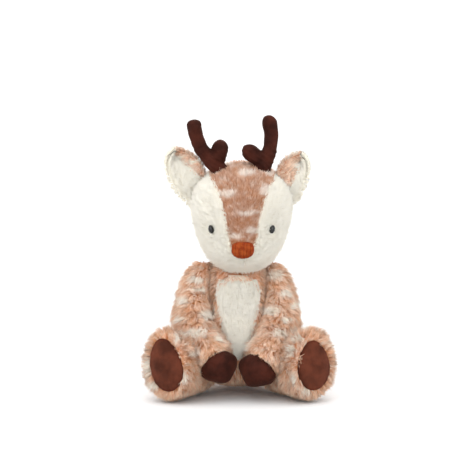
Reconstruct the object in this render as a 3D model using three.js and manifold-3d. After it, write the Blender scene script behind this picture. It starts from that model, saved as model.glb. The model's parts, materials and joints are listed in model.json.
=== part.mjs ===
// A seated plush deer, in millimetres. It sits on z = 0 and faces -Y, so its own left is +X.
// Each padded form is a skin over rings of points. A cover is that form less the same form drawn in by
// the cover's thickness, and the stuffing is the form drawn in a little further.
import * as THREE from "three";
import { mergeVertices } from "three/addons/utils/BufferGeometryUtils.js";
import Module from "manifold-3d";

const wasm = await Module();
wasm.setup();

// Fabrics, each with its pile pressed down
const longPile = 5;
const shortPile = 3.2;
const velour = 1.3;

// Clearances: between pieces of cover, round a filling and round a piece that moves
const seamGap = 0.35;
const stuffingGap = 0.6;
const swingGap = 0.8;

// How much of each rounded underside is pressed flat on the floor
const restFlat = 0.5;

// The torso: a pear that stands on its lower end and is cut level at the neck seam
const torso = { width: 104, depth: 88, rise: 127, lean: 5 };
const torsoRiseShares = [0, 0.07, 0.17, 0.31, 0.47, 0.63, 0.79, 0.9, 0.97, 1];
const torsoWidthShares = [0, 0.74, 0.95, 1, 0.92, 0.8, 0.68, 0.57, 0.4, 0];
const torsoDepthShares = [0, 0.76, 0.95, 1, 0.96, 0.86, 0.75, 0.66, 0.46, 0];
const torsoLeanShares = [0, 0, 0.1, 0.2, 0.35, 0.5, 0.65, 0.8, 0.9, 1];
const neck = { below: 10, openingRadius: 10 };
const neckHeight = torso.rise - neck.below;
const belly = { width: 45, height: 76, below: 4 };
const bellyRiseShares = [0, 0.1, 0.24, 0.4, 0.56, 0.72, 0.86, 0.95, 1];
const bellyWidthShares = [0.12, 0.38, 0.6, 0.78, 0.91, 1, 0.93, 0.7, 0.25];
const pouch = { width: 36, depth: 26, height: 14, backSet: 14, lift: 4, necking: 9 };

// The head: a stack of ovals that narrows to the chin, with a muzzle that stands forward of it
const head = { width: 98, depth: 98, rise: 105.5, sink: 3.5, sideShift: 3, backSet: -6, lean: 13 };
const headRiseShares = [0, 0.04, 0.095, 0.145, 0.22, 0.31, 0.42, 0.51, 0.63, 0.765, 0.875, 0.95, 1];
const headWidthShares = [0, 0.36, 0.53, 0.64, 0.75, 0.84, 0.92, 0.97, 1, 0.94, 0.76, 0.52, 0];
const headDepthShares = [0, 0.42, 0.62, 0.75, 0.87, 0.94, 0.98, 1, 1, 0.93, 0.77, 0.52, 0];
const headLeanShares = [0.5, 0.55, 0.7, 0.8, 0.85, 0.85, 0.75, 0.6, 0.3, 0, -0.2, -0.25, -0.25];
const muzzle = { width: 46, depth: 50, height: 38, up: 26, reach: 61 };
const gusset = { noseWidth: 22, backSet: 4, foot: 22, noseTop: 33 };
const gussetRiseShares = [0, 0.14, 0.32, 0.55, 0.76, 0.92, 1.1];
const gussetWidthShares = [1, 1.3, 1.75, 2.05, 2.6, 3.6, 4.6];

// The face
const eye = { width: 6.2, height: 8.6, dome: 3.4, apart: 57, up: 44.5, tilt: 12, sink: 0.9 };
const shank = { radius: 1.5, length: 9 };
const washer = { radius: 4, thickness: 1.4, seat: 2.2 };
const nose = { width: 21, height: 15.6, bulge: 4.4, up: 26.5, sideShift: 1.5 };
const mouth = { thickness: 0.9, length: 6.5, up: 12.5, sideShift: 3.5 };

// The ears: leaves that spread from a seam down each side of the head, mirrored but for their reach
const ear = { seamFoot: 61, seamTop: 89, backSet: 1, standOff: 2.2, sink: 3, cup: 8, play: 0.75 };
const earLayers = { outer: 3.4, lining: 2.4 };
const earReach = {
  right: { low: 24, high: 29, rise: 54, crest: 26 },
  left: { low: 18, high: 25, rise: 50, crest: 23 },
};
const earLowShares = [[0, 0], [0.5, 0.21], [0.83, 0.44], [1, 0.7], [0.95, 0.9], [0.8, 0.985]];
const earHighShares = [[0, 0], [0.1, 0.38], [0.32, 0.7], [0.62, 0.9], [0.85, 0.98], [1, 1]];
const earCupShares = [0, 0.04, 0.5, 1, 0.8, 0.35];

// The antlers: a beam with one inner prong, mirrored but for how each one leans
const antler = { thickness: 15, length: 49, curve: 5.5, openingRadius: 3.8 };
const antlerSeat = { apart: 46, backSet: -9, lift: 2.5, play: 0.8 };
const antlerPose = {
  right: { shift: 0, lean: 26, prongLean: 12, prongLength: 24, prongUp: 5 },
  left: { shift: -2, lean: 4, prongLean: 50, prongLength: 22, prongUp: 8 },
};
const beamShares = [0, 0.95, 1.04, 0.96, 0.9, 0.92, 0.96, 0];
const prongShares = [0, 0.9, 1.02, 1.08, 1.0, 0];

// The arms: sleeves that hang forward over the thighs to velour paws
const shoulder = { apart: 52.8, backSet: -3, below: 10, openingRadius: 9, setOut: 6.2 };
const shoulderRoom = { discRadius: 45, play: 1.6 };
const arm = { thickness: 41, forward: 70, outward: 12, inward: 21.5, cuff: 31 };
const armDrop = { right: 108, left: 112 };
const armThicknessShares = [0, 0.8, 0.93, 1, 0.98, 0.88, 0.78, 0];
const armForwardShares = [-0.03, 0, 0.13, 0.37, 0.64, 0.83, 0.92, 1];
const armDropShares = [0, 0.13, 0.31, 0.52, 0.7, 0.82, 0.9, 1];
const armOutwardShares = [0.1, 0.1, 0.72, 1, 0.5, 0, 0, 0];
const armInwardShares = [0, 0, 0, 0, 0.08, 0.45, 0.7, 1];
const cuffRunShare = 5 / 7;

// The legs: short boots that splay from the hips, with the soles turned to the front
const hip = { apart: 72, backSet: -20, height: 24.5, openingRadius: 8, splay: 29.5, spread: 32 };
const hipRoom = { play: 3.4, domeHeight: 15 };
const legSweepShares = [0, 0.25, 0.5, 0.75, 1];
const leg = { width: 42, height: 50, length: 71 };
const legRunShares = [-0.276, -0.138, 0, 0.3, 0.56, 0.73, 0.86, 0.94, 1];
const legWidthShares = [0, 0.87, 1, 0.98, 1.08, 1.24, 1.22, 1, 0];
const legHeightShares = [0, 0.87, 1, 1.01, 1.2, 1.38, 1.39, 1.16, 0];
const legUpShares = [1, 1, 1, 1.01, 1.2, 1.38, 1.42, 1.46, 1.47];
const sole = { width: 34, height: 51, up: 36.5, inset: 10 };

// The tail, a short tuft low on the back
const tail = { thickness: 24, length: 32, height: 38, lift: 14, standOff: 2, openingRadius: 6 };
const tailShares = [0, 0.88, 1, 1, 0.9, 0.62, 0];

// How finely each form is drawn
const fine = { sides: 12, ringShares: [0.06, 0.14, 0.25, 0.37, 0.5, 0.62, 0.74, 0.85, 0.94] };
const thigh = { sides: 12, ringShares: [0.12, 0.27, 0.44, 0.6, 0.76, 0.9, 0.97] };
const plain = { sides: 10, ringShares: [0.14, 0.29, 0.45, 0.61, 0.77, 0.9, 0.97] };
const slim = { sides: 8, ringShares: [0.06, 0.25, 0.5, 0.78, 0.95] };
const stub = { sides: 8, ringShares: [0.2, 0.6, 0.93] };
const tuft = { sides: 8, ringShares: [0.14, 0.3, 0.5, 0.7, 0.88] };
const earRows = 5;
const earColumns = 4;
const drumSides = 10;

// Points nearer than this are one point. Cutters run this far, past every side of the deer.
const weld = 0.001;
const reach = torso.rise + head.rise;

const colours = {
  spotted: 0xc99a7a,
  cream: 0xece6d8,
  velour: 0x4a251e,
  sole: 0x62382c,
  nose: 0xa04420,
  stuffing: 0xf4f2ee,
  eye: 0x0c0b0b,
  washer: 0xdedede,
  pellets: 0xd8d2c6,
  thread: 0xb7aea0,
};
const roughness = { fabric: 0.95, thread: 0.6, plastic: 0.5, glass: 0.08 };

const up = new THREE.Vector3(0, 0, 1);
const right = new THREE.Vector3(1, 0, 0);
const back = new THREE.Vector3(0, 1, 0);
const sides = { left: 1, right: -1 };

const vector = (x, y, z) => new THREE.Vector3(x, y, z);
const sum = (solids) => solids.reduce((all, solid) => all.add(solid));
const outwardOf = (side) => vector(side, 0, 0);

// A smooth curve through evenly spaced values, read at share t of its run.
function along(values, t) {
  const points = values.map((value) => new THREE.Vector2(value, 0));
  return new THREE.SplineCurve(points).getPoint(t).x;
}

// The same for half sizes: their squares are joined, so a form whose size ends at nothing ends round.
function roundAlong(values, t) {
  const squares = values.map((value) => value ** 2);
  return Math.sqrt(Math.max(0, along(squares, t)));
}

// A closed body from points and triangles, turned so that its faces point out.
function bodyOf(points, faces) {
  let volume = 0;
  for (const [a, b, c] of faces) volume += points[a].dot(points[b].clone().cross(points[c]));
  const turned = volume < 0 ? faces.map(([a, b, c]) => [a, c, b]) : faces;
  const geometry = new THREE.BufferGeometry().setFromPoints(points);
  geometry.setIndex(turned.flat());
  return geometry;
}

// A manifold-3d solid from a closed geometry.
function solidOf(geometry) {
  const bare = geometry.clone();
  bare.deleteAttribute("normal");
  bare.deleteAttribute("uv");
  const merged = mergeVertices(bare, weld);
  return new wasm.Manifold(
    new wasm.Mesh({
      numProp: 3,
      vertProperties: new Float32Array(merged.attributes.position.array),
      triVerts: new Uint32Array(merged.index.array),
    }),
  );
}

// The skin of a form, moved outwards by grow (inwards where it is negative).
// A form gives, at share t of its run, its centre, its two half sizes and the two directions they lie in.
function skin(form, grow) {
  const points = [form.at(0).centre];
  for (const share of form.ringShares) {
    const { centre, wide, tall, across, over } = form.at(share);
    for (let side = 0; side < form.sides; side++) {
      const turn = (side / form.sides) * 2 * Math.PI;
      const point = centre.clone().addScaledVector(across, wide * Math.cos(turn));
      points.push(point.addScaledVector(over, tall * Math.sin(turn)));
    }
  }
  points.push(form.at(1).centre);
  const spot = (ring, side) => 1 + ring * form.sides + (side % form.sides);
  const faces = [];
  const last = form.ringShares.length - 1;
  for (let side = 0; side < form.sides; side++) {
    faces.push([0, spot(0, side + 1), spot(0, side)]);
    faces.push([points.length - 1, spot(last, side), spot(last, side + 1)]);
    for (let ring = 0; ring < last; ring++) {
      faces.push([spot(ring, side), spot(ring, side + 1), spot(ring + 1, side)]);
      faces.push([spot(ring + 1, side), spot(ring, side + 1), spot(ring + 1, side + 1)]);
    }
  }
  const geometry = bodyOf(points, faces);
  geometry.computeVertexNormals();
  const { position, normal } = geometry.attributes;
  for (let i = 0; i < position.count; i++) {
    const moved = new THREE.Vector3().fromBufferAttribute(position, i);
    moved.addScaledVector(new THREE.Vector3().fromBufferAttribute(normal, i), grow);
    position.setXYZ(i, moved.x, moved.y, moved.z);
  }
  return solidOf(geometry);
}

// A box between two corners.
function box(low, high) {
  const size = high.clone().sub(low);
  const centre = low.clone().add(high).divideScalar(2);
  return solidOf(new THREE.BoxGeometry(size.x, size.y, size.z).translate(centre.x, centre.y, centre.z));
}

// A drum round an axis, from one distance along it to another.
function drum(centre, axis, radius, from, to) {
  const geometry = new THREE.CylinderGeometry(radius, radius, to - from, drumSides);
  geometry.translate(0, (from + to) / 2, 0);
  geometry.applyQuaternion(new THREE.Quaternion().setFromUnitVectors(back, axis.clone().normalize()));
  return solidOf(geometry.translate(centre.x, centre.y, centre.z));
}

// An oval ball with the given half sizes, turned with its third size along an axis.
function ball(centre, sizes, axis = up) {
  const geometry = new THREE.SphereGeometry(sizes.z, drumSides, drumSides / 2).rotateX(Math.PI / 2);
  geometry.scale(sizes.x / sizes.z, sizes.y / sizes.z, 1);
  geometry.applyQuaternion(new THREE.Quaternion().setFromUnitVectors(up, axis.clone().normalize()));
  return solidOf(geometry.translate(centre.x, centre.y, centre.z));
}

// An outline in x and z, carried along y.
function prism(outline, fromY, toY) {
  const shape = new THREE.Shape(outline.map(([x, z]) => new THREE.Vector2(x, z)));
  const geometry = new THREE.ExtrudeGeometry(shape, { depth: toY - fromY, bevelEnabled: false });
  return solidOf(geometry.rotateX(Math.PI / 2).translate(0, toY, 0));
}

// A solid turned round an axis through a point.
function turned(solid, pivot, axis, degrees) {
  const angle = THREE.MathUtils.degToRad(degrees);
  const turn = new THREE.Matrix4().makeRotationAxis(axis.clone().normalize(), angle);
  const place = new THREE.Matrix4().makeTranslation(pivot.x, pivot.y, pivot.z);
  const whole = place.clone().multiply(turn).multiply(place.clone().invert());
  return solid.transform(whole.elements.slice());
}

// The main body of a solid, without the slivers that cuts leave beside it or hanging on it by an edge.
function main(solid) {
  const bodies = solid.decompose();
  const largest = bodies.reduce((best, body) => (body.volume() > best.volume() ? body : best));
  const welded = solidOf(geometryOf(largest));
  return welded.decompose().length > 1 ? main(welded) : welded;
}

// A filling: a drawn-in form with a clearance to the cavity that it lies in.
const filling = (drawn, wall) => drawn(-wall - stuffingGap).intersect(drawn(-wall));

// Where a line meets a solid first.
function hit(solid, from, direction) {
  const material = new THREE.MeshBasicMaterial({ side: THREE.DoubleSide });
  const mesh = new THREE.Mesh(geometryOf(solid), material);
  const met = new THREE.Raycaster(from, direction.clone().normalize()).intersectObject(mesh)[0];
  return { point: met.point, normal: met.face.normal.clone() };
}

// A geometry that holds a solid's points and triangles.
function geometryOf(solid) {
  const mesh = solid.getMesh();
  const geometry = new THREE.BufferGeometry();
  geometry.setAttribute("position", new THREE.BufferAttribute(new Float32Array(mesh.vertProperties), 3));
  geometry.setIndex(new THREE.BufferAttribute(new Uint32Array(mesh.triVerts), 1));
  return geometry;
}

// A form stacked up z: ovals at heights from a foot, leaning by shares of a depth.
function stack(place, size, shares, detail) {
  return {
    ...detail,
    at: (t) => ({
      centre: vector(0, -size.lean * along(shares.lean, t), size.rise * along(shares.rise, t)).add(place),
      wide: (size.width / 2) * roundAlong(shares.width, t),
      tall: (size.depth / 2) * roundAlong(shares.depth, t),
      across: right,
      over: back,
    }),
  };
}

// A form carried along a curve through points, with its second size as upright as the curve lets it be.
function limb(points, width, widthShares, height, heightShares, upright, detail) {
  const curve = new THREE.CatmullRomCurve3(points, false, "catmullrom", 0.5);
  return {
    ...detail,
    at: (t) => {
      const tangent = curve.getTangent(t);
      const over = upright.clone().addScaledVector(tangent, -upright.dot(tangent)).normalize();
      return {
        centre: curve.getPoint(t),
        wide: (width / 2) * roundAlong(widthShares, t),
        tall: (height / 2) * roundAlong(heightShares, t),
        across: new THREE.Vector3().crossVectors(over, tangent),
        over,
      };
    },
  };
}

// Legs and hips. The hip end of a leg is a ball round the upright hip axis, so that it turns in its hollow.
const hipAt = (side) => vector((side * hip.apart) / 2, hip.backSet, hip.height);
function legAhead(side) {
  const splay = THREE.MathUtils.degToRad(hip.splay);
  return vector(side * Math.sin(splay), -Math.cos(splay), 0);
}
function legForm(side) {
  const points = legRunShares.map((share, i) => {
    const point = hipAt(side).addScaledVector(legAhead(side), share * leg.length);
    return point.setZ((leg.height / 2) * legUpShares[i] - restFlat);
  });
  return limb(points, leg.width, legWidthShares, leg.height, legHeightShares, up, thigh);
}
const aboveFloor = (grow) => box(vector(-reach, -reach, -grow), vector(reach, reach, reach));
const legSolid = (side, grow) => skin(legForm(side), grow).intersect(aboveFloor(grow));
// The room that a leg takes between its place and its full spread, at shares of that spread.
function legSweep(side, grow) {
  const whole = skin(legForm(side), grow);
  return sum(legSweepShares.map((share) => turned(whole, hipAt(side), up, side * hip.spread * share)));
}
function hipHollow(side, grow) {
  const half = vector(leg.width / 2, leg.width / 2, hipRoom.domeHeight).addScalar(hipRoom.play + grow);
  const springing = leg.height / 2 - hipRoom.domeHeight;
  const dome = ball(hipAt(side).addScaledVector(up, springing), half);
  return dome.add(drum(hipAt(side), up, half.x, -leg.height, springing));
}

// The torso, cut by the neck seam, by the flat discs that the arms turn on and by the hollows of the hips
const torsoShares = {
  rise: torsoRiseShares,
  width: torsoWidthShares,
  depth: torsoDepthShares,
  lean: torsoLeanShares,
};
const torsoForm = stack(vector(0, 0, -restFlat), torso, torsoShares, fine);
const shoulderHeight = neckHeight - shoulder.below;
const shoulderAt = (side) => vector((side * shoulder.apart) / 2, shoulder.backSet, shoulderHeight);
function torsoSolid(grow) {
  const belowNeck = neckHeight - seamGap / 2 + grow;
  const between = box(vector(-reach, -reach, -grow), vector(reach, reach, belowNeck));
  let solid = skin(torsoForm, grow).intersect(between);
  for (const side of Object.values(sides)) {
    const radius = shoulderRoom.discRadius + swingGap - grow;
    const disc = drum(shoulderAt(side), outwardOf(side), radius, grow, torso.width);
    solid = solid.subtract(disc).subtract(hipHollow(side, -grow));
  }
  return solid;
}

function bellyOutline(grow) {
  const top = neckHeight - belly.below;
  const height = (share) => top - belly.height * (1 - share) + grow * (2 * share - 1);
  const halfWidth = (share) => (belly.width / 2) * share + grow;
  const half = bellyWidthShares.map((share, i) => [halfWidth(share), height(bellyRiseShares[i])]);
  return [...half, ...half.map(([x, z]) => [-x, z]).reverse()];
}

// The neck's opening runs through the covers of the torso and of the head, which stands on the neck seam.
const neckAt = vector(0, head.backSet, neckHeight);
const neckOpening = (from, to) => drum(neckAt, up, neck.openingRadius, from, to);
const headPlace = vector(head.sideShift, head.backSet, neckHeight - head.sink);
const headShares = {
  rise: headRiseShares,
  width: headWidthShares,
  depth: headDepthShares,
  lean: headLeanShares,
};
const headForm = stack(headPlace, head, headShares, fine);
function headBlank(grow) {
  const half = vector(muzzle.width / 2, muzzle.height / 2, muzzle.depth / 2).addScalar(grow);
  const centre = vector(headPlace.x, headPlace.y - muzzle.reach + muzzle.depth / 2, neckHeight + muzzle.up);
  const snout = ball(centre, half, back);
  const foot = neckHeight + seamGap / 2 - grow;
  const aboveNeck = box(vector(-reach, -reach, foot), vector(reach, reach, reach * 2));
  return skin(headForm, grow).add(snout).intersect(aboveNeck);
}
const plainHead = headBlank(0);

// Antlers: a beam and a prong, round at the root so that they bend there in a shallow hollow of the crown.
function antlerRoot(side, pose) {
  const x = headPlace.x + (side * antlerSeat.apart) / 2 + pose.shift;
  const above = vector(x, headPlace.y + antlerSeat.backSet, reach * 2);
  return hit(plainHead, above, up.clone().negate()).point.addScaledVector(up, antlerSeat.lift);
}
function antlerForms(side, pose) {
  const root = antlerRoot(side, pose);
  const lean = THREE.MathUtils.degToRad(pose.lean);
  const prongLean = THREE.MathUtils.degToRad(pose.prongLean);
  const ahead = vector(side * Math.sin(lean), 0, Math.cos(lean));
  const out = vector(side * Math.cos(lean), 0, -Math.sin(lean));
  const half = antler.thickness / 2;
  const beam = beamShares.map((_, i) => {
    const share = i / (beamShares.length - 1);
    const bow = Math.sin(Math.PI * share) * antler.curve;
    const run = share * (antler.length + half) - half;
    return root.clone().addScaledVector(ahead, run).addScaledVector(out, bow);
  });
  const inward = vector(-side * Math.sin(prongLean), 0, Math.cos(prongLean));
  const prongRoot = root.clone().addScaledVector(up, pose.prongUp - half / 2);
  const prong = prongShares.map((_, i) => {
    const share = i / (prongShares.length - 1);
    return prongRoot.clone().addScaledVector(inward, share * pose.prongLength);
  });
  return [
    limb(beam, antler.thickness, beamShares, antler.thickness, beamShares, back, slim),
    limb(prong, antler.thickness, prongShares, antler.thickness, prongShares, back, stub),
  ];
}
const antlerSolid = (side, pose, grow) => sum(antlerForms(side, pose).map((form) => skin(form, grow)));
function antlerHollow(side, pose, grow) {
  const radius = antler.thickness / 2 + antlerSeat.play + grow;
  return ball(antlerRoot(side, pose), vector(radius, radius, radius));
}

// Ears: a leaf between a lower and an upper edge that start at the ends of the seam, cupped to the back.
function seamPoint(side, height) {
  const from = vector(headPlace.x + side * head.width, headPlace.y + ear.backSet, neckHeight + height);
  return hit(plainHead, from, outwardOf(-side)).point.addScaledVector(outwardOf(side), ear.standOff);
}
const seamOf = (side) => [seamPoint(side, ear.seamFoot), seamPoint(side, ear.seamTop)];
const seams = Object.fromEntries(Object.values(sides).map((side) => [side, seamOf(side)]));
function earPoint(side, size, s, column) {
  const t = column / earColumns;
  const edge = (shares, axis) => along(shares.map((pair) => pair[axis]), s);
  const between = (low, high) => THREE.MathUtils.lerp(low, high, t);
  const out = between(size.low * edge(earLowShares, 0), size.high * edge(earHighShares, 0));
  const rise = between(size.rise * edge(earLowShares, 1), size.crest * edge(earHighShares, 1));
  const cup = ear.cup * along(earCupShares, s) * Math.sin(Math.PI * t);
  return seams[side][0].clone().lerp(seams[side][1], t).add(vector(side * (out - ear.sink), cup, rise));
}
function earLayer(side, size, from, to) {
  const points = [];
  for (const depth of [from, to])
    for (let row = 0; row <= earRows; row++)
      for (let column = 0; column <= earColumns; column++)
        points.push(earPoint(side, size, row / earRows, column).addScaledVector(back, depth));
  const spot = (layer, row, column) => (layer * (earRows + 1) + row) * (earColumns + 1) + column;
  const faces = [];
  const quad = (a, b, c, d) => faces.push([a, b, c], [a, c, d]);
  const wall = (one, next) => quad(spot(0, ...one), spot(0, ...next), spot(1, ...next), spot(1, ...one));
  for (let row = 0; row < earRows; row++) {
    for (let column = 0; column < earColumns; column++) {
      const [a, b, c, d] = [[row, column], [row, column + 1], [row + 1, column + 1], [row + 1, column]];
      quad(...[a, b, c, d].map((corner) => spot(0, ...corner)));
      quad(...[a, d, c, b].map((corner) => spot(1, ...corner)));
    }
    wall([row, 0], [row + 1, 0]);
    wall([row + 1, earColumns], [row, earColumns]);
  }
  for (let column = 0; column < earColumns; column++) {
    wall([0, column + 1], [0, column]);
    wall([earRows, column], [earRows, column + 1]);
  }
  return solidOf(bodyOf(points, faces));
}
function earHollow(side, grow) {
  const thick = earLayers.outer + earLayers.lining + seamGap;
  const radius = Math.hypot(ear.sink, thick / 2) + ear.play + grow;
  const [foot, top] = seams[side];
  const run = top.clone().sub(foot);
  return drum(foot, run, radius, -radius, run.length() + radius);
}

function headSolid(grow) {
  let solid = headBlank(grow);
  for (const [name, side] of Object.entries(sides))
    solid = solid.subtract(antlerHollow(side, antlerPose[name], -grow)).subtract(earHollow(side, -grow));
  return solid;
}

// The gusset is the strip from the nose over the crown, and all of the head behind the ears.
function gussetZone(grow) {
  const height = head.rise - gusset.noseTop;
  const half = gussetRiseShares.map((share, i) => [
    (gusset.noseWidth / 2) * gussetWidthShares[i] + grow,
    neckHeight + (i ? gusset.noseTop + height * share : gusset.foot - grow),
  ]);
  const outline = [...half, ...half.map(([x, z]) => [-x, z]).reverse()];
  const strip = prism(outline.map(([x, z]) => [x + headPlace.x, z]), -reach, reach);
  const nape = box(vector(-reach, headPlace.y + gusset.backSet - grow, 0), vector(reach, reach, reach * 2));
  return strip.add(nape);
}

// The eyes look along the face's normal. Each has a shank through the face and a washer behind it.
function eyeSeat(side) {
  const x = headPlace.x + (side * eye.apart) / 2;
  return hit(plainHead, vector(x, -reach, neckHeight + eye.up), back);
}
function eyeSolid(side) {
  const { point, normal } = eyeSeat(side);
  const dome = ball(vector(0, 0, 0), vector(eye.width / 2, eye.dome, eye.height / 2));
  const tilt = new THREE.Matrix4().makeRotationY(THREE.MathUtils.degToRad(side * eye.tilt));
  const facing = new THREE.Quaternion().setFromUnitVectors(back.clone().negate(), normal);
  const face = new THREE.Matrix4().makeRotationFromQuaternion(facing);
  const centre = point.clone().addScaledVector(normal, eye.dome / 2 - eye.sink);
  const whole = new THREE.Matrix4().setPosition(centre).multiply(face).multiply(tilt);
  const stem = drum(point, normal, shank.radius, -shank.length, eye.dome / 2);
  return dome.transform(whole.elements.slice()).subtract(headBlank(seamGap)).add(stem);
}
function shankHole(side) {
  const { point, normal } = eyeSeat(side);
  return drum(point, normal, shank.radius + seamGap, -shank.length - seamGap, eye.dome);
}
function washerSolid(side, grow) {
  const { point, normal } = eyeSeat(side);
  const start = -shortPile - washer.seat - washer.thickness;
  return drum(point, normal, washer.radius + grow, start - grow, start + washer.thickness + grow);
}

function noseSolid() {
  const x = headPlace.x + nose.sideShift;
  const { point } = hit(plainHead, vector(x, -reach, neckHeight + nose.up), back);
  const pad = ball(point, vector(nose.width / 2, nose.bulge, nose.height / 2));
  return pad.subtract(headBlank(seamGap));
}
function mouthSolid() {
  const x = headPlace.x + mouth.sideShift;
  const seat = (height) => {
    const { point, normal } = hit(plainHead, vector(x, -reach, neckHeight + height), back);
    return point.addScaledVector(normal, mouth.thickness / 2);
  };
  const [low, high] = [seat(mouth.up - mouth.length / 2), seat(mouth.up + mouth.length / 2)];
  const run = high.clone().sub(low);
  return drum(low, run, mouth.thickness, 0, run.length()).subtract(headBlank(seamGap));
}

// Arms hang from the shoulders and are cut by the torso and by the room of the swinging legs.
function armForm(side, drop) {
  const top = (arm.thickness / 2) * armThicknessShares[1];
  const points = armForwardShares.map((share, i) => {
    const out = shoulder.setOut + arm.outward * armOutwardShares[i] - arm.inward * armInwardShares[i];
    return shoulderAt(side).add(vector(side * out, -arm.forward * share, top - drop * armDropShares[i]));
  });
  return limb(points, arm.thickness, armThicknessShares, arm.thickness, armThicknessShares, up, plain);
}
function armSolid(side, drop, grow) {
  const at = shoulderAt(side);
  const disc = drum(at, outwardOf(side), shoulderRoom.discRadius, -shoulder.apart / 2, seamGap - grow);
  return skin(armForm(side, drop), grow)
    .subtract(disc)
    .subtract(torsoSolid(shoulderRoom.play - grow))
    .subtract(legSweep(side, swingGap - grow));
}
// The zone below the cuff, square to the sleeve, moved towards the shoulder by grow.
function pawZone(side, drop, grow) {
  const form = armForm(side, drop);
  const tip = form.at(1).centre;
  const run = tip.clone().sub(form.at(cuffRunShare).centre);
  return drum(tip, run, arm.thickness, -arm.cuff - grow, arm.thickness);
}

// The sole is an oval set into the front of the foot.
function soleZone(side, grow) {
  const ahead = legAhead(side);
  const centre = hipAt(side).setZ(sole.up).addScaledVector(ahead, leg.length - sole.inset - grow);
  const [wide, tall] = [sole.width / 2 + grow, sole.height / 2 + grow];
  const geometry = new THREE.CylinderGeometry(tall, tall, leg.length, drumSides);
  geometry.scale(wide / tall, 1, 1).translate(0, leg.length / 2, 0);
  geometry.applyQuaternion(new THREE.Quaternion().setFromUnitVectors(back, ahead));
  return solidOf(geometry.translate(centre.x, centre.y, centre.z));
}

// The tail turns on a ball in a hollow of the torso.
const tailAt = vector(0, torso.depth / 2 + tail.standOff, tail.height);
function tailForm() {
  const lift = THREE.MathUtils.degToRad(tail.lift);
  const ahead = vector(0, Math.cos(lift), Math.sin(lift));
  const half = tail.thickness / 2;
  const points = tailShares.map((_, i) => {
    const share = i / (tailShares.length - 1);
    return tailAt.clone().addScaledVector(ahead, share * (tail.length + half) - half);
  });
  return limb(points, tail.thickness, tailShares, tail.thickness, tailShares, right, tuft);
}
function tailHollow(grow) {
  const radius = tail.thickness / 2 + swingGap + grow;
  return ball(tailAt, vector(radius, radius, radius));
}

const group = new THREE.Group();
function add(name, solid, colour, rough = roughness.fabric) {
  const material = new THREE.MeshStandardMaterial({ color: colour, roughness: rough, metalness: 0 });
  const mesh = new THREE.Mesh(geometryOf(main(solid)), material);
  mesh.name = name;
  group.add(mesh);
}

function addTorso() {
  const drawn = (grow) => torsoSolid(grow).subtract(tailHollow(-grow));
  const shell = drawn(0).subtract(drawn(-longPile));
  const front = (grow) => prism(bellyOutline(grow), -torso.depth, 0);
  const opening = neckOpening(-longPile * 2, longPile);
  const sackAt = vector(0, pouch.backSet, longPile + pouch.lift + pouch.height / 2);
  const sackHalf = vector(pouch.width / 2, pouch.depth / 2, pouch.height / 2);
  const sack = (grow) => ball(sackAt, sackHalf.clone().addScalar(grow));
  const sackWay = drum(sackAt, up, pouch.necking, -sackAt.z, 0);
  add("torso_cover", shell.subtract(front(seamGap)).subtract(opening), colours.spotted);
  add("belly_panel", shell.intersect(front(0)), colours.cream);
  const stuffing = filling(drawn, longPile).subtract(sack(seamGap)).subtract(sackWay);
  add("torso_stuffing", stuffing, colours.stuffing);
  add("pellet_pouch", sack(0), colours.pellets);
}

function addHead() {
  const shell = headSolid(0).subtract(headSolid(-shortPile));
  const opening = neckOpening(-shortPile, shortPile * 2);
  const holes = sum(Object.values(sides).map((side) => shankHole(side)));
  const washers = sum(Object.values(sides).map((side) => washerSolid(side, seamGap)));
  const face = shell.subtract(gussetZone(seamGap)).subtract(holes);
  add("head_gusset", shell.intersect(gussetZone(0)).subtract(opening), colours.spotted);
  for (const [name, side] of Object.entries(sides)) {
    const half = drum(vector(headPlace.x, 0, 0), outwardOf(side), reach * 2, seamGap / 2, reach);
    const washerRing = washerSolid(side, 0).subtract(shankHole(side));
    add("face_panel_" + name, face.intersect(half), colours.cream);
    add("eye_" + name, eyeSolid(side), colours.eye, roughness.glass);
    add("eye_washer_" + name, washerRing, colours.washer, roughness.plastic);
  }
  add("head_stuffing", filling(headSolid, shortPile).subtract(holes).subtract(washers), colours.stuffing);
  add("nose", noseSolid(), colours.nose, roughness.thread);
  add("mouth_stitch", mouthSolid(), colours.thread, roughness.thread);
}

function addEarAndAntler(name, side) {
  const thick = earLayers.outer + earLayers.lining + seamGap;
  const size = earReach[name];
  add("ear_outer_" + name, earLayer(side, size, thick / 2 - earLayers.outer, thick / 2), colours.spotted);
  add("ear_lining_" + name, earLayer(side, size, -thick / 2, earLayers.lining - thick / 2), colours.cream);
  const pose = antlerPose[name];
  const root = antlerRoot(side, pose);
  const opening = drum(root, up, antler.openingRadius, -antler.thickness, 0);
  const drawn = (grow) => antlerSolid(side, pose, grow);
  add("antler_cover_" + name, drawn(0).subtract(drawn(-velour)).subtract(opening), colours.velour);
  add("antler_stuffing_" + name, filling(drawn, velour), colours.stuffing);
}

function addArm(name, side) {
  const drop = armDrop[name];
  const drawn = (grow) => armSolid(side, drop, grow);
  const belowCuff = pawZone(side, drop, -seamGap);
  const at = shoulderAt(side);
  const opening = drum(at, outwardOf(side), shoulder.openingRadius, -shoulder.apart / 2, longPile * 2);
  const sleeve = drawn(0).subtract(drawn(-longPile)).subtract(pawZone(side, drop, 0));
  add("sleeve_" + name, sleeve.subtract(opening), colours.spotted);
  add("paw_" + name, drawn(0).subtract(drawn(-velour)).intersect(belowCuff), colours.velour);
  const inSleeve = filling(drawn, longPile);
  const inPaw = filling(drawn, velour).intersect(belowCuff);
  add("arm_stuffing_" + name, inSleeve.add(inPaw), colours.stuffing);
}

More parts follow.
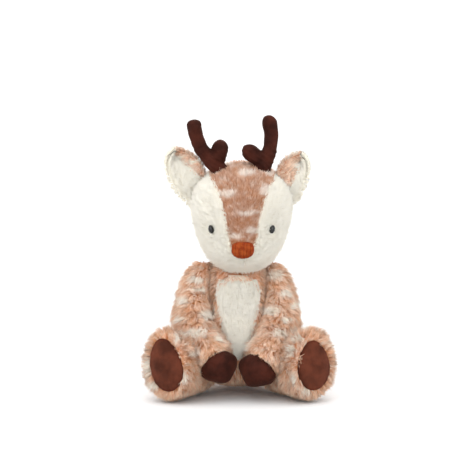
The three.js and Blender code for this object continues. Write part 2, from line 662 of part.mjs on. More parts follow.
function addLeg(name, side) {
  const drawn = (grow) => legSolid(side, grow);
  const opening = drum(hipAt(side), legAhead(side).negate(), hip.openingRadius, 0, leg.length);
  const cover = drawn(0).subtract(drawn(-longPile)).subtract(soleZone(side, seamGap));
  add("leg_cover_" + name, cover.subtract(opening), colours.spotted);
  add("sole_" + name, drawn(0).subtract(drawn(-velour)).intersect(soleZone(side, 0)), colours.sole);
  const behindSole = filling(drawn, velour).intersect(soleZone(side, -seamGap));
  add("leg_stuffing_" + name, filling(drawn, longPile).add(behindSole), colours.stuffing);
}

function addTail() {
  const drawn = (grow) => skin(tailForm(), grow);
  const opening = drum(tailAt, back, tail.openingRadius, -tail.thickness, 0);
  add("tail_cover", drawn(0).subtract(drawn(-longPile)).subtract(opening), colours.spotted);
  add("tail_stuffing", filling(drawn, longPile), colours.stuffing);
}

addTorso();
addHead();
for (const [name, side] of Object.entries(sides)) {
  addEarAndAntler(name, side);
  addArm(name, side);
  addLeg(name, side);
}
addTail();

export default group;
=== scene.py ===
import json

import bpy
import numpy as np
from bpy.props import FloatProperty, FloatVectorProperty, PointerProperty
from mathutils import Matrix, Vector


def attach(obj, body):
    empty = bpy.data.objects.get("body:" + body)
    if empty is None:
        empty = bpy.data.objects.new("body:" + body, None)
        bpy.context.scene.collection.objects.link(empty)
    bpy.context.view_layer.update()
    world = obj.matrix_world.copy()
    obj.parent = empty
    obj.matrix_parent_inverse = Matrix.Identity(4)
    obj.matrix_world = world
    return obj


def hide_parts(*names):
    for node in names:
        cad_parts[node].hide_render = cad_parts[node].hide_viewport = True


bl_info = {
    "name": "Seated Plush Deer",
    "version": (1, 0, 0),
    "blender": (4, 5, 0),
    "location": "3D View > Sidebar > Plush Deer",
    "description": "Dresses the packed plush deer in pile fabric, velour, thread and plastic",
    "category": "Add Mesh",
}

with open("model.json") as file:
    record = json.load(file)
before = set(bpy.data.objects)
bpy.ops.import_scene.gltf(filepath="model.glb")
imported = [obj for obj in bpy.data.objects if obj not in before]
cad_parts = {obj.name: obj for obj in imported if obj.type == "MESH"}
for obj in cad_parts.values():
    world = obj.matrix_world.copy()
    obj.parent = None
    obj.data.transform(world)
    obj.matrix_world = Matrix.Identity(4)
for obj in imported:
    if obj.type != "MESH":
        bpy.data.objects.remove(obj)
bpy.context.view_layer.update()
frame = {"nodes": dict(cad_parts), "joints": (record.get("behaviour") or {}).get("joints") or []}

# Every form below is in millimetres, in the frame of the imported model, and becomes metres in its mesh.
MM = 0.001
JOINTS = {joint["name"]: joint for joint in frame["joints"]}
SIDES = {"left": 1, "right": -1}

TORSO = dict(
    place=(0, 0, -0.5), width=104, depth=88, rise=127, lean=5,
    rises=[0, 0.07, 0.17, 0.31, 0.47, 0.63, 0.79, 0.9, 0.97, 1],
    widths=[0, 0.74, 0.95, 1, 0.92, 0.8, 0.68, 0.57, 0.4, 0],
    depths=[0, 0.76, 0.95, 1, 0.96, 0.86, 0.75, 0.66, 0.46, 0],
    leans=[0, 0, 0.1, 0.2, 0.35, 0.5, 0.65, 0.8, 0.9, 1],
)
HEAD = dict(
    place=(3.4, -6, 113.5), width=95.6, depth=98, rise=105.5, lean=13,
    rises=[0, 0.04, 0.095, 0.145, 0.22, 0.31, 0.42, 0.51, 0.63, 0.765, 0.875, 0.95, 1],
    widths=[0, 0.36, 0.53, 0.64, 0.75, 0.84, 0.92, 0.97, 1, 0.94, 0.76, 0.52, 0],
    depths=[0, 0.42, 0.62, 0.75, 0.87, 0.94, 0.98, 1, 1, 0.93, 0.77, 0.52, 0],
    leans=[0.5, 0.55, 0.7, 0.8, 0.85, 0.85, 0.75, 0.6, 0.3, 0, -0.2, -0.25, -0.25],
)
MUZZLE = dict(centre=(3, -42, 143), half=(23, 25, 19), blend=9)
BELLY = dict(top=112.5, height=75, width=37)
BELLY_RISES = [0, 0.1, 0.24, 0.4, 0.56, 0.72, 0.86, 0.95, 1]
BELLY_WIDTHS = [0.1, 0.34, 0.56, 0.75, 0.9, 1, 1.02, 0.9, 0.5]
GUSSET_HEIGHTS = [117, 136, 141, 160, 173, 190, 205, 217, 230]
GUSSET_HALF_WIDTHS = [0, 0, 9.5, 12.4, 15.5, 20.5, 29, 40, 51]
GUSSET_CENTRE = 4.4
BACK_SEAM = -2.0
ARM = dict(
    thickness=41, forward=70, inward=22, set_out=5.5, outward={"right": 10, "left": 7.5},
    drop={"right": 103, "left": 107},
    thicknesses=[0, 0.8, 0.93, 1, 0.98, 0.88, 0.8, 0],
    widths={"right": [0, 0.7, 0.82, 0.88, 0.92, 0.92, 0.9, 0],
            "left": [0, 0.56, 0.77, 0.88, 0.92, 0.94, 0.93, 0]},
    forwards=[-0.03, 0, 0.13, 0.37, 0.64, 0.83, 0.92, 1],
    drops=[0, 0.13, 0.31, 0.52, 0.7, 0.82, 0.9, 1],
    outs=[0.1, 0.1, 0.72, 1, 0.5, 0, 0, 0],
    ins=[0, 0, 0, 0, 0.08, 0.45, 0.7, 1],
)
CUFF = 5 / 7
CUFF_SLANT = -0.01
LEG = dict(
    width=42, height=50, length=71, splay={"right": 28.8, "left": 32},
    runs=[-0.276, -0.138, 0, 0.3, 0.56, 0.73, 0.86, 0.94, 1],
    widths=[0, 0.87, 1, 0.98, 1.07, 1.21, 1.18, 0.98, 0],
    heights=[0, 0.87, 1, 1.01, 1.2, 1.38, 1.39, 1.16, 0],
    ups=[1, 1, 1, 1.01, 1.2, 1.38, 1.42, 1.46, 1.47],
)
SOLE = dict(
    width=33, height={"right": 48.5, "left": 46}, up={"right": 37.2, "left": 36.4}, roll={"right": 11, "left": 6})
SOLE_TAPER = 0.13
TAIL = dict(thickness=24, length=32, lift=14, shares=[0, 0.88, 1, 1, 0.9, 0.62, 0])
EAR = dict(
    foot=178, top=206, sink=3, cup=8, outer=3.4, lining=2.6,
    right=dict(low=24, high=27, rise=51.5, crest=23.5, fold=[0.84, 0.78, 0.72, 0.72, 0.82, 0.98]),
    left=dict(low=16.5, high=20.5, rise=46, crest=19.5, fold=[0.5, 0.46, 0.46, 0.52, 0.66, 0.86]),
    lows=[[0, 0], [0.5, 0.21], [0.83, 0.44], [1, 0.7], [0.95, 0.9], [0.8, 0.985]],
    highs=[[0, 0], [0.1, 0.38], [0.32, 0.7], [0.62, 0.9], [0.85, 0.98], [1, 1]],
    cups=[0, 0.04, 0.5, 1, 0.8, 0.35],
)
ANTLER = dict(
    thickness=15, depth=16, curve=5.5, set_back=4, beam=[1.0, 1.04, 1.06, 0.98, 0.92, 0.93, 0.97, 0.98],
    prong=[0.95, 0.98, 1.02, 1.06, 1.04, 1.0],
    right=dict(length=50.5, lean=26, prong_lean=12, prong_length=25, prong_up=5),
    left=dict(length=48, lean=4, prong_lean=53, prong_length=24, prong_up=7),
)
EYE = dict(width=4.9, height=8.2, dome=2.8, apart=57, height_on_head=161.8, tilt=16)
NOSE = dict(width=21.5, height=15.8, bulge=4.4, x=4.5, z=143.8, threads=25, square_top=3.2, square_bottom=2.1)
MOUTH = dict(x=6.5, low=128.6, high=133.4, radius=0.32)

# Pale spots of the coat as seen from the front: x, height along a line leaning back nine degrees, half sizes
FRONT_SPOTS = [
    (-40.4, 102.6, 8.5, 3.4), (-38.5, 94, 9.5, 2.2), (-52.7, 82.6, 7, 4.8), (-29, 70.3, 8.5, 5),
    (-56.5, 64.6, 4.2, 4), (-40.4, 53.2, 12, 5), (-57.5, 49.4, 4, 6), (-15.7, 48.5, 5, 6.6),
    (-39, 35.6, 6, 3), (35.6, 107.3, 9, 5.2), (45, 89.3, 6.5, 4), (31.8, 74.1, 10, 4.8),
    (54.2, 78.9, 4.2, 5), (44.2, 65.6, 6, 3.2), (38.1, 53.2, 8.5, 4.6), (54.2, 51.8, 6.2, 6),
    (5.8, 43, 4.8, 5.8), (47, 38, 4.6, 9), (-86, 22, 7, 12), (-80, 4, 9, 4), (-52, 12, 5, 7),
    (84, 20, 5, 9), (66, 1, 9, 5), (52, 10, 4, 8), (-75, 63, 7, 3.5), (90, 46, 5, 6), (-3, 117, 7, 2.5),
]
HEAD_SPOTS = [
    (7.1, 205.2, 9.4, 3.9), (-10.6, 186, 9.2, 4.3), (24.8, 189.5, 6.4, 5.4), (8.4, 167, 9.5, 2.9),
    (13.2, 151.5, 7, 3.6), (-1, 145.4, 7, 3.6), (-24, 208, 5.5, 3.2), (31, 205, 4.5, 3.4),
]
EAR_SPOTS = [(-41.5, 214.5, 5.5, 3.2), (-52, 221, 5, 2.6), (56.5, 210.5, 7.5, 3.4), (-38, 203, 3, 3)]
LEAN_BACK = np.radians(9)
UP = np.array([0.0, 0.0, 1.0])

# How many strands are sown on each piece at full density
STRANDS = dict(
    torso=29500, belly=21000, gusset=52000, face=25000, outer=13000, lining=15000, arm=47000, leg=33500,
    tail=9000)

# How each fabric's strands are made: their width and lean, the width of a tuft, how far its strands are pulled
# together, how loosely they lie, and how much of the shading is the fabric's own
STYLES = dict(
    coat=dict(width=0.42, pull=0.24, soft=0.75, along_run=0.7),
    belly=dict(width=0.5, tuft=2.2, pull=0.12, loose=0.3, soft=1.0),
    gusset=dict(width=0.48, lean=48, tuft=2.2, pull=0.3, loose=0.22, soft=0.85),
    face=dict(width=0.42, lean=34, tuft=2.0, pull=0.08, loose=0.5, soft=1.0, stray=0.9),
    outer=dict(width=0.46, lean=42, tuft=2.2, pull=0.15, loose=0.4, soft=0.8),
    lining=dict(width=0.44, lean=42, tuft=2.2, pull=0.15, loose=0.4),
)

# How far each filling lies inside its cover's mean surface
FILLING_INSETS = dict(torso=7, head=7.5, tail=6, arm=8, leg=9, antler=1.6)

# Each lamp's place, the height it aims at, its size and its power, and the camera's distance, height and lens
LAMPS = dict(
    Key=((-0.8, -1.3, 1.4), 0.12, 1.1, 5),
    Front=((0.1, -2.1, 1.2), 0.1, 1.2, 9),
    Top=((0.0, 0.1, 1.6), 0.1, 1.2, 3),
    Back=((-0.3, 2.2, 1.3), 0.1, 1.4, 8),
)
CAMERA = dict(distance=4.0, height=0.1452, lens=318.4)

# A strand is a spindle of five points: its root, three round its belly and its tip
SPINDLE_POINTS = 5
SPINDLE_FACES = np.array([[0, 2, 1], [0, 3, 2], [0, 1, 3], [1, 2, 4], [2, 3, 4], [3, 1, 4]])
SPINDLE_TIPS = [0.0, 0.55, 0.55, 0.55, 1.0]
SPINDLE_MAP = np.array([
    [0.5, 0], [1, 1], [0, 1], [1.5, 0], [2, 1], [1, 1], [2.5, 0], [3, 1], [2, 1],
    [0, 1], [1, 1], [0.5, 2], [1, 1], [2, 1], [1.5, 2], [2, 1], [3, 1], [2.5, 2]]) / [3, 2]

# How deep each backing lies under the pile's mean surface, and the rows and columns of the shells' grids
COAT_BACKING, HEAD_BACKING, TAIL_BACKING = 5.0, 4.2, 4.0
BELLY_GRID, EAR_GRID = (50, 30), (40, 32)

# The flat disc that each arm and the torso share round the shoulder: its radius, and the gap kept to the joint
SHOULDER_DISC, SHOULDER_GAP = 43, 0.6


def linear(red, green, blue):
    """A colour given as screen values from 0 to 255, as the linear values that shaders take."""
    share = np.array([red, green, blue]) / 255
    return tuple(np.where(share <= 0.04045, share / 12.92, ((share + 0.055) / 1.055) ** 2.4))


def length_field(name, description, default, most):
    """A length for the sidebar, in metres."""
    return FloatProperty(name=name, description=description, default=default, min=0.001, max=most, unit="LENGTH")


def colour_field(name, description, *screen):
    """A colour for the sidebar, whose default is given as screen values."""
    return FloatVectorProperty(
        name=name, description=description, subtype="COLOR", size=3, min=0, max=1, default=linear(*screen))


class DeerPile(bpy.types.PropertyGroup):
    """How long each fabric's pile is and how it lies"""

    coat: length_field("Coat", "Length of the spotted coat's fur on body and limbs", 0.0098, 0.03)
    head: length_field("Head", "Length of the pile on the gusset of the head and on the ears' backs", 0.0052, 0.02)
    plush: length_field("Plush", "Length of the cream pile on face, belly and ear linings", 0.0040, 0.02)
    tuft: length_field("Tuft", "Width of the tufts that the coat's strands gather in", 0.0030, 0.02)
    density: FloatProperty(
        name="Density", description="Share of the full number of strands that is sown",
        default=1.0, min=0.02, max=1.0, subtype="FACTOR")


class DeerColours(bpy.types.PropertyGroup):
    """The colours of the deer's fabrics and trimmings"""

    coat: colour_field("Coat", "Tips of the tan fur", 255, 226, 198)
    coat_root: colour_field("Coat root", "Roots of the tan fur", 206, 118, 62)
    head: colour_field("Head", "Tips of the short tan pile on the head", 203, 163, 137)
    head_root: colour_field("Head root", "Roots of the short tan pile on the head", 168, 112, 82)
    spot: colour_field("Spot", "Tips of the fur in the pale spots", 255, 251, 242)
    spot_root: colour_field("Spot root", "Roots of the fur in the pale spots", 254, 234, 212)
    cream: colour_field("Cream", "Tips of the cream plush", 254, 251, 241)
    cream_root: colour_field("Cream root", "Roots of the cream plush", 252, 246, 230)
    velour: colour_field("Velour", "Antlers and paws", 54, 23, 15)
    sole: colour_field("Sole", "Velour of the soles", 80, 40, 27)
    nose: colour_field("Nose", "Thread of the stitched nose", 136, 50, 8)
    eye: colour_field("Eye", "Plastic of the eyes", 8, 9, 10)


def along(values, share, extend=False):
    """A smooth curve through evenly spaced values, read at a share of its run. Between two values it is
    the cubic that leaves each one with half the difference of that value's neighbours as its slope."""
    values = np.asarray(values, float)
    before = 2 * values[0] - values[1] if extend else values[0]
    after = 2 * values[-1] - values[-2] if extend else values[-1]
    held = np.concatenate([[before], values, [after]])
    steps = len(values) - 1
    run = np.clip(share, 0, 1) * steps
    start = np.minimum(run.astype(int), steps - 1)
    part = (run - start)[..., None] if values.ndim > 1 else run - start
    a, b, c, d = (held[start + k] for k in range(4))
    leave, arrive = (c - a) / 2, (d - b) / 2
    cube, square = 2 * b - 2 * c + leave + arrive, 3 * c - 3 * b - 2 * leave - arrive
    return cube * part**3 + square * part**2 + leave * part + b


def round_along(values, share):
    """The same for half sizes: the squares are joined and the root is taken, so that ends close round."""
    return np.sqrt(np.maximum(along(np.square(values), share), 0))


def eased(count, low=0.0, high=1.0):
    """Shares from low to high that crowd at both ends: half of one less the cosine of half a turn's run."""
    return low + (high - low) * (1 - np.cos(np.pi * np.linspace(0, 1, count))) / 2


def unit(vectors):
    """The vectors at a length of one."""
    return vectors / np.maximum(np.linalg.norm(vectors, axis=-1, keepdims=True), 1e-9)


def step(low, high, value):
    """0 below low, 1 above high, and the cubic ease three squares less two cubes between them."""
    part = np.clip((value - low) / (high - low), 0, 1)
    return part * part * (3 - 2 * part)


def larger(a, b, ease):
    """The larger of two values, rounded over where they are within ease of each other."""
    part = np.clip(0.5 + 0.5 * (a - b) / ease, 0, 1)
    return b + (a - b) * part + ease * part * (1 - part)


def smaller(a, b, ease):
    """The smaller of two values, rounded in the same way."""
    return -larger(-a, -b, ease)


def noise(points, size, seed):
    """Smooth noise from 0 to 1: random values at the corners of cells of the given size, eased between."""
    place = np.asarray(points, float) / np.asarray(size, float)
    cell = np.floor(place).astype(np.int64)
    part = place - cell
    part = part * part * (3 - 2 * part)
    total = np.zeros(len(place))
    for corner in range(8):
        shift = np.array([corner & 1, corner >> 1 & 1, corner >> 2 & 1])
        key = (cell + shift) @ np.array([73856093, 19349663, 83492791]) + seed * 2654435761
        key = (key ^ (key >> 13)) * 1274126177 & 0xFFFFFFFF
        key = (key ^ (key >> 16)) & 0xFFFF
        total += np.prod(np.where(shift, part, 1 - part), axis=1) * key / 65535
    return total


def noises(points, size, seed, count):
    """Several such noises side by side."""
    return np.stack([noise(points, size, seed + k) for k in range(count)], -1)


class Stack:
    """Ovals stacked up z, whose centres lean forward by shares of a length."""

    def __init__(self, form):
        self.form = form
        self.shares = np.linspace(0, 1, 601)
        self.centres = self.ring(self.shares)[0]

    def ring(self, share):
        """The oval's centre and its two half sizes at a share of the rise."""
        form = self.form
        centre = np.stack([
            form["place"][0] + 0 * share,
            form["place"][1] - form["lean"] * along(form["leans"], share),
            form["place"][2] + form["rise"] * along(form["rises"], share),
        ], -1)
        wide = form["width"] / 2 * round_along(form["widths"], share)
        deep = form["depth"] / 2 * round_along(form["depths"], share)
        return centre, wide, deep

    def share_at(self, height):
        """The share of the rise at which the ovals lie at a height."""
        return np.interp(height, self.centres[:, 2], self.shares)

    def inside(self, points):
        """About how far points lie inside: the shorter half size times one less their share of the oval."""
        centre, wide, deep = self.ring(self.share_at(points[:, 2]))
        across = (points[:, 0] - centre[:, 0]) / np.maximum(wide, 1e-6)
        ahead = (points[:, 1] - centre[:, 1]) / np.maximum(deep, 1e-6)
        within = (1 - np.hypot(across, ahead)) * np.minimum(wide, deep)
        outside = (points[:, 2] < self.centres[0, 2]) | (points[:, 2] > self.centres[-1, 2])
        return np.where(outside, -20, within)


class Limb:
    """Ovals carried along a smooth curve through points, one half size lying as upright as the curve lets it.
    They stand square to the curve, or all square to one direction where facing gives it."""

    def __init__(self, points, width, widths, height, heights, upright=(0, 0, 1), facing=None):
        self.points = np.array(points, float)
        self.facing = facing
        self.sizes = width / 2, np.array(widths), height / 2, np.array(heights)
        self.upright = np.array(upright, float)
        self.held = self.ring(np.linspace(0.02, 0.98, 40))

    def ring(self, share):
        """The oval's centre, the directions ahead, across and over, and its two half sizes at a share."""
        centre = along(self.points, share, True)
        ahead = unit(along(self.points, share + 1e-3, True) - along(self.points, share - 1e-3, True))
        if self.facing is not None:
            ahead = np.broadcast_to(self.facing, ahead.shape)
        over = unit(self.upright - (ahead @ self.upright)[..., None] * ahead)
        across = np.cross(over, ahead)
        width, widths, height, heights = self.sizes
        wide, tall = width * round_along(widths, share), height * round_along(heights, share)
        return centre, ahead, across, over, wide, tall

    def surface(self, share, turn):
        """Centre plus half the width times the turn's cosine across and half the height times its sine over."""
        share, turn = np.broadcast_arrays(share[:, None] if share.ndim == 1 else share, turn)
        centre, _, across, over, wide, tall = self.ring(share)
        return centre + (np.cos(turn) * wide)[..., None] * across + (np.sin(turn) * tall)[..., None] * over

    def inside(self, points):
        """How far points lie inside, from the ring that holds each one best."""
        centre, ahead, across, over, wide, tall = self.held
        away = points[:, None] - centre[None]
        share = np.sqrt(
            (np.einsum("nki,ki->nk", away, across) / wide) ** 2
            + (np.einsum("nki,ki->nk", away, over) / tall) ** 2
            + (np.einsum("nki,ki->nk", away, ahead) / np.minimum(wide, tall)) ** 2)
        best = share.argmin(1)
        return (1 - share[np.arange(len(points)), best]) * np.minimum(wide, tall)[best]

    def ahead_at(self, points):
        """The curve's direction at the ring nearest to each point."""
        near = np.linalg.norm(points[:, None] - self.held[0][None], axis=2).argmin(1)
        return self.held[1][near]


def grid_triangles(rows, columns, wrap):
    """Two triangles for each cell of a grid, whose last column meets the first where it wraps round a tube."""
    row, column = np.meshgrid(np.arange(rows - 1), np.arange(columns if wrap else columns - 1), indexing="ij")
    after = (column + 1) % columns
    a, b = row * columns + column, row * columns + after
    c, d = (row + 1) * columns + after, (row + 1) * columns + column
    return np.stack([np.stack([a, b, c], -1), np.stack([a, c, d], -1)], 2).reshape(-1, 3)


def facing_out(points, triangles):
    """The triangles turned, if need be, so that the volume they enclose is positive."""
    a, b, c = (points[triangles[:, k]] for k in range(3))
    volume = np.einsum("ni,ni->n", a, np.cross(b, c)).sum()
    return triangles[:, ::-1] if volume < 0 else triangles


def normals_of(points, triangles):
    """At each point, the unit sum of the area vectors of the triangles that meet there."""
    a, b, c = (points[triangles[:, k]] for k in range(3))
    area = np.cross(b - a, c - a)
    total = np.zeros_like(points)
    for k in range(3):
        np.add.at(total, triangles[:, k], area)
    return unit(total)


def tube(grid):
    """A closed skin over a grid of rings whose first and last rings shrink to their middles."""
    rows, columns = grid.shape[0] - 2, grid.shape[1]
    points = np.concatenate([grid[1:-1].reshape(-1, 3), [grid[0].mean(0), grid[-1].mean(0)]])
    turn = np.arange(columns)
    after = (turn + 1) % columns
    last = (rows - 1) * columns
    start = np.stack([turn * 0 + rows * columns, after, turn], -1)
    end = np.stack([turn * 0 + rows * columns + 1, last + turn, last + after], -1)
    triangles = np.concatenate([grid_triangles(rows, columns, True), start, end])
    return points, facing_out(points, triangles)


def shell(outer, inner):
    """A closed skin between two open grids of the same size, joined by a wall round their edges."""
    rows, columns = outer.shape[:2]
    points = np.concatenate([outer.reshape(-1, 3), inner.reshape(-1, 3)])
    flat = grid_triangles(rows, columns, False)
    index = np.arange(rows * columns).reshape(rows, columns)
    rim = np.concatenate([index[0], index[1:, -1], index[-1, -2::-1], index[-2:0:-1, 0]])
    after = np.roll(rim, -1)
    under = rows * columns
    wall = np.concatenate([
        np.stack([after, rim, rim + under], -1), np.stack([after, rim + under, after + under], -1)])
    triangles = np.concatenate([flat, flat[:, ::-1] + under, wall])
    return points, facing_out(points, triangles)


def moved_out(skin, distance):
    """A skin whose points are moved along their normals by a distance, inwards where it is negative."""
    points, triangles = skin
    return points + normals_of(points, triangles) * np.asarray(distance)[..., None], triangles


def above_floor(points, least=0.3):
    """Points kept a little above the floor, where what is lower presses flat."""
    held = points.copy()
    held[..., 2] = larger(points[..., 2], np.full(points.shape[:-1], least), 0.6)
    return held


def sown(skin, part, seed, value=None):
    """Points spread over a skin by area, one at random in each equal share of it, and the normals there, with
    the values of the skin's points read at each, if a row of them is given for every point. How many is the
    part's full number times the density."""
    points, triangles = skin
    count = int(STRANDS[part] * bpy.context.scene.deer_pile.density)
    rng = np.random.default_rng(seed)
    a, b, c = (points[triangles[:, k]] for k in range(3))
    ends = np.linalg.norm(np.cross(b - a, c - a), axis=1).cumsum()
    picked = np.searchsorted(ends, (np.arange(count) + rng.random(count)) / count * ends[-1])
    picked = triangles[np.minimum(picked, len(triangles) - 1)]
    u, v = rng.random((2, count))
    over = u + v > 1
    u, v = np.where(over, 1 - u, u)[:, None], np.where(over, 1 - v, v)[:, None]
    place, normal, *rest = (
        row[picked[:, 0]] * (1 - u - v) + row[picked[:, 1]] * u + row[picked[:, 2]] * v
        for row in (points, normals_of(points, triangles), *([] if value is None else [value])))
    return place, unit(normal), *rest


def along_skin(direction, normal):
    """A direction laid along the skin: less its part along the normal, and of length one."""
    return unit(direction - np.einsum("ni,ni->n", direction, normal)[:, None] * normal)


def clump_ids(points, size, seed):
    """Numbers that strands of one tuft share: the cell of a warped lattice that each root lies in."""
    warp = noises(points, size * 1.7, seed, 3) * size * 1.6
    cell = np.floor((points + warp) / size).astype(np.int64)
    key = cell @ np.array([73856093, 19349663, 83492791])
    return np.unique(key, return_inverse=True)[1].reshape(-1)


def strands(root, normal, comb, length, seed, width, lean, tuft, pull, loose, soft, droop=0.0,
            floor=0.25, stray=0.5, along_run=0.15):
    """Closed spindles of five points each: a root, three round the belly at half the run, and a tip.
    A strand leaves along a blend of the normal and the comb direction, bends over by its lean at the tip, and
    its tip moves towards the middle of its tuft's tips by pull. A few strands are longer, by up to the stray
    share. Loose turns tufts and strands at random, droop lets tips hang by a share of the length, and soft is
    the share of the fabric's own normal, tipped along the run, in the shading. Millimetres and degrees."""
    rng = np.random.default_rng(seed)
    count = len(root)
    group = clump_ids(root, tuft, seed)
    groups = group.max() + 1
    turn = rng.normal(0, 1, (groups, 3))[group] * loose + rng.normal(0, 1, (count, 3)) * loose * 0.45
    comb = along_skin(comb + turn, normal)
    size = length * (0.72 + 0.45 * rng.random(count) + stray * rng.random(count) ** 8)
    size = size * (0.92 + 0.16 * rng.random(groups))[group]
    angle = np.clip(np.radians(lean + rng.normal(0, 7, count) + rng.normal(0, 8, groups)[group]), 0, 1.5)
    early = angle * 0.55
    first = unit(np.cos(early)[:, None] * normal + np.sin(early)[:, None] * comb)
    late = unit(np.cos(angle)[:, None] * normal + np.sin(angle)[:, None] * comb)
    middle = root + first * (size * 0.5)[:, None]
    tip = middle + late * (size * 0.5)[:, None] - UP * (size * droop)[:, None]
    members = np.bincount(group, minlength=groups)[:, None]

    def to_centre(points):
        """From each point to the middle of its tuft's points."""
        centre = np.stack([np.bincount(group, points[:, k], groups) for k in range(3)], -1) / members
        return centre[group] - points

    tip = tip + to_centre(tip) * (pull * (0.6 + 0.6 * rng.random(count)))[:, None]
    middle = middle + to_centre(middle) * (pull * 0.35)
    run = unit(tip - root)
    beside = unit(np.cross(run, normal + 0.01))
    other = np.cross(run, beside)
    thick = (width * (0.75 + 0.5 * rng.random(count)) / 2)[:, None]
    spin = rng.random(count) * 2 * np.pi
    spins = [(spin + k * 2 * np.pi / 3)[:, None] for k in range(3)]
    ring = [beside * np.cos(turn) + other * np.sin(turn) for turn in spins]
    points = np.stack([root - normal * 0.4, *(middle + side * thick for side in ring), tip], 1)
    points[..., 2] = np.maximum(points[..., 2], floor + 0.5 * rng.random((count, 1)))
    radial = np.stack([normal, *ring, late * 0.4 + normal * 0.6], 1)
    soft = np.broadcast_to(soft, (count,))[:, None, None]
    normals = unit(radial * (1 - soft) + unit(normal + along_run * late)[:, None] * soft)
    vary = 0.5 + 0.17 * rng.normal(0, 1, count) + 0.2 * rng.normal(0, 1, groups)[group]
    worn = np.minimum(0.4 + 0.85 * rng.random(count), 1)
    return dict(
        points=points.reshape(-1, 3), normals=normals.reshape(-1, 3),
        triangles=(np.arange(count)[:, None, None] * SPINDLE_POINTS + SPINDLE_FACES).reshape(-1, 3),
        cell=np.arange(count).repeat(len(SPINDLE_FACES)), uv=np.tile(SPINDLE_MAP, (count, 1)),
        tip=np.tile(SPINDLE_TIPS, count) * np.repeat(worn, SPINDLE_POINTS),
        vary=np.repeat(np.clip(vary, 0, 1), SPINDLE_POINTS), tone=np.zeros(count * SPINDLE_POINTS))


def cloth_part(skin, tone):
    """The backing cloth under the pile as a part of a piece, two triangles in each cell of the bake map."""
    points, triangles = skin
    half = np.array([[[0, 0], [1, 0], [1, 1]], [[0, 0], [1, 1], [0, 1]]], float)
    pair = np.arange(len(triangles)) % 2
    return dict(
        points=points, triangles=triangles, normals=normals_of(points, triangles),
        uv=(half[pair] * 0.9 + np.where(pair, 0.0, 0.08)[:, None, None]).reshape(-1, 2),
        cell=np.arange(len(triangles)) // 2, tip=np.full(len(points), 0.12),
        vary=np.full(len(points), 0.5), tone=np.broadcast_to(tone, (len(points),)))


def sheet_part(skin, rows, columns, tone):
    """The same for a shell, each of whose two sheets keeps its own normals as far as the wall between them."""
    part = cloth_part(skin, tone)
    flat, half = grid_triangles(rows, columns, False), rows * columns
    for sheet in (slice(0, half), slice(half, None)):
        own = normals_of(skin[0][sheet], flat)
        part["normals"][sheet] = own * np.sign(np.einsum("ni,ni->", own, part["normals"][sheet]))
    return part


def placed(name, data):
    """A new object in the scene."""
    piece = bpy.data.objects.new(name, data)
    bpy.context.scene.collection.objects.link(piece)
    return piece


def piled(name, parts, finish):
    """One mesh of several parts, with its tone, tip and vary attributes, a bake map of one cell for each strand
    or pair of cloth triangles, and normals that follow the fabric as a pile's shading does."""
    starts = np.cumsum([0] + [len(part["points"]) for part in parts])
    rooms = np.cumsum([0] + [int(part["cell"].max()) + 1 for part in parts])
    points = np.concatenate([part["points"] for part in parts]) * MM
    triangles = np.concatenate([part["triangles"] + start for part, start in zip(parts, starts)])
    cells = np.concatenate([part["cell"] + room for part, room in zip(parts, rooms)])
    uvs = np.concatenate([part["uv"] for part in parts])
    mesh = bpy.data.meshes.new(name)
    mesh.vertices.add(len(points))
    mesh.vertices.foreach_set("co", points.astype(np.float32).ravel())
    mesh.loops.add(len(triangles) * 3)
    mesh.loops.foreach_set("vertex_index", triangles.astype(np.int32).ravel())
    mesh.polygons.add(len(triangles))
    mesh.polygons.foreach_set("loop_start", np.arange(0, len(triangles) * 3, 3, dtype=np.int32))
    mesh.polygons.foreach_set("use_smooth", np.ones(len(triangles), bool))
    mesh.update(calc_edges=True)
    across = int(np.ceil(np.sqrt(rooms[-1])))
    corner = np.stack([cells % across, cells // across], -1).repeat(3, 0) + 0.08 + 0.84 * uvs
    layer = mesh.uv_layers.new(name="OFBake")
    layer.uv.foreach_set("vector", (corner / across).astype(np.float32).ravel())
    for attribute in ("tone", "tip", "vary"):
        values = np.concatenate([part[attribute] for part in parts]).astype(np.float32)
        mesh.attributes.new(attribute, "FLOAT", "POINT").data.foreach_set("value", values)
    mesh.normals_split_custom_set_from_vertices(np.concatenate([part["normals"] for part in parts]))
    mesh.materials.append(finish_of(finish))
    return placed(name, mesh)


def plain(name, skins, finish):
    """One smooth mesh of closed skins in millimetres, for velour, thread, plastic and filling."""
    starts = np.cumsum([0] + [len(points) for points, _ in skins])
    mesh = bpy.data.meshes.new(name)
    mesh.from_pydata(
        np.concatenate([points for points, _ in skins]) * MM, [],
        np.concatenate([triangles + start for (_, triangles), start in zip(skins, starts)]))
    mesh.polygons.foreach_set("use_smooth", np.ones(len(mesh.polygons), bool))
    mesh.update()
    mesh.materials.append(finish_of(finish))
    return placed(name, mesh)


def settle(piece, body, node):
    """Hangs the piece on its body and hides the node that it stands for."""
    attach(piece, body)
    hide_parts(node)


TORSO_FORM, HEAD_FORM = Stack(TORSO), Stack(HEAD)


def joint_place(name):
    """A joint's place, in millimetres."""
    return np.array(JOINTS[name]["pos_m"]) / MM


def arm_form(name):
    """An arm, hung from its shoulder: set out to the side, then down, forward and inward by shares."""
    side, at = SIDES[name], joint_place(f"arm_{name}_lift")
    out = ARM["set_out"] + ARM["outward"][name] * np.array(ARM["outs"]) - ARM["inward"] * np.array(ARM["ins"])
    points = at + np.stack([
        side * out, -ARM["forward"] * np.array(ARM["forwards"]),
        ARM["thickness"] / 2 * ARM["thicknesses"][1] - ARM["drop"][name] * np.array(ARM["drops"])], -1)
    return Limb(points, ARM["thickness"], ARM["widths"][name], ARM["thickness"], ARM["thicknesses"])


def leg_ahead(name):
    """The level direction that a leg points in."""
    splay = np.radians(LEG["splay"][name])
    return np.array([SIDES[name] * np.sin(splay), -np.cos(splay), 0])


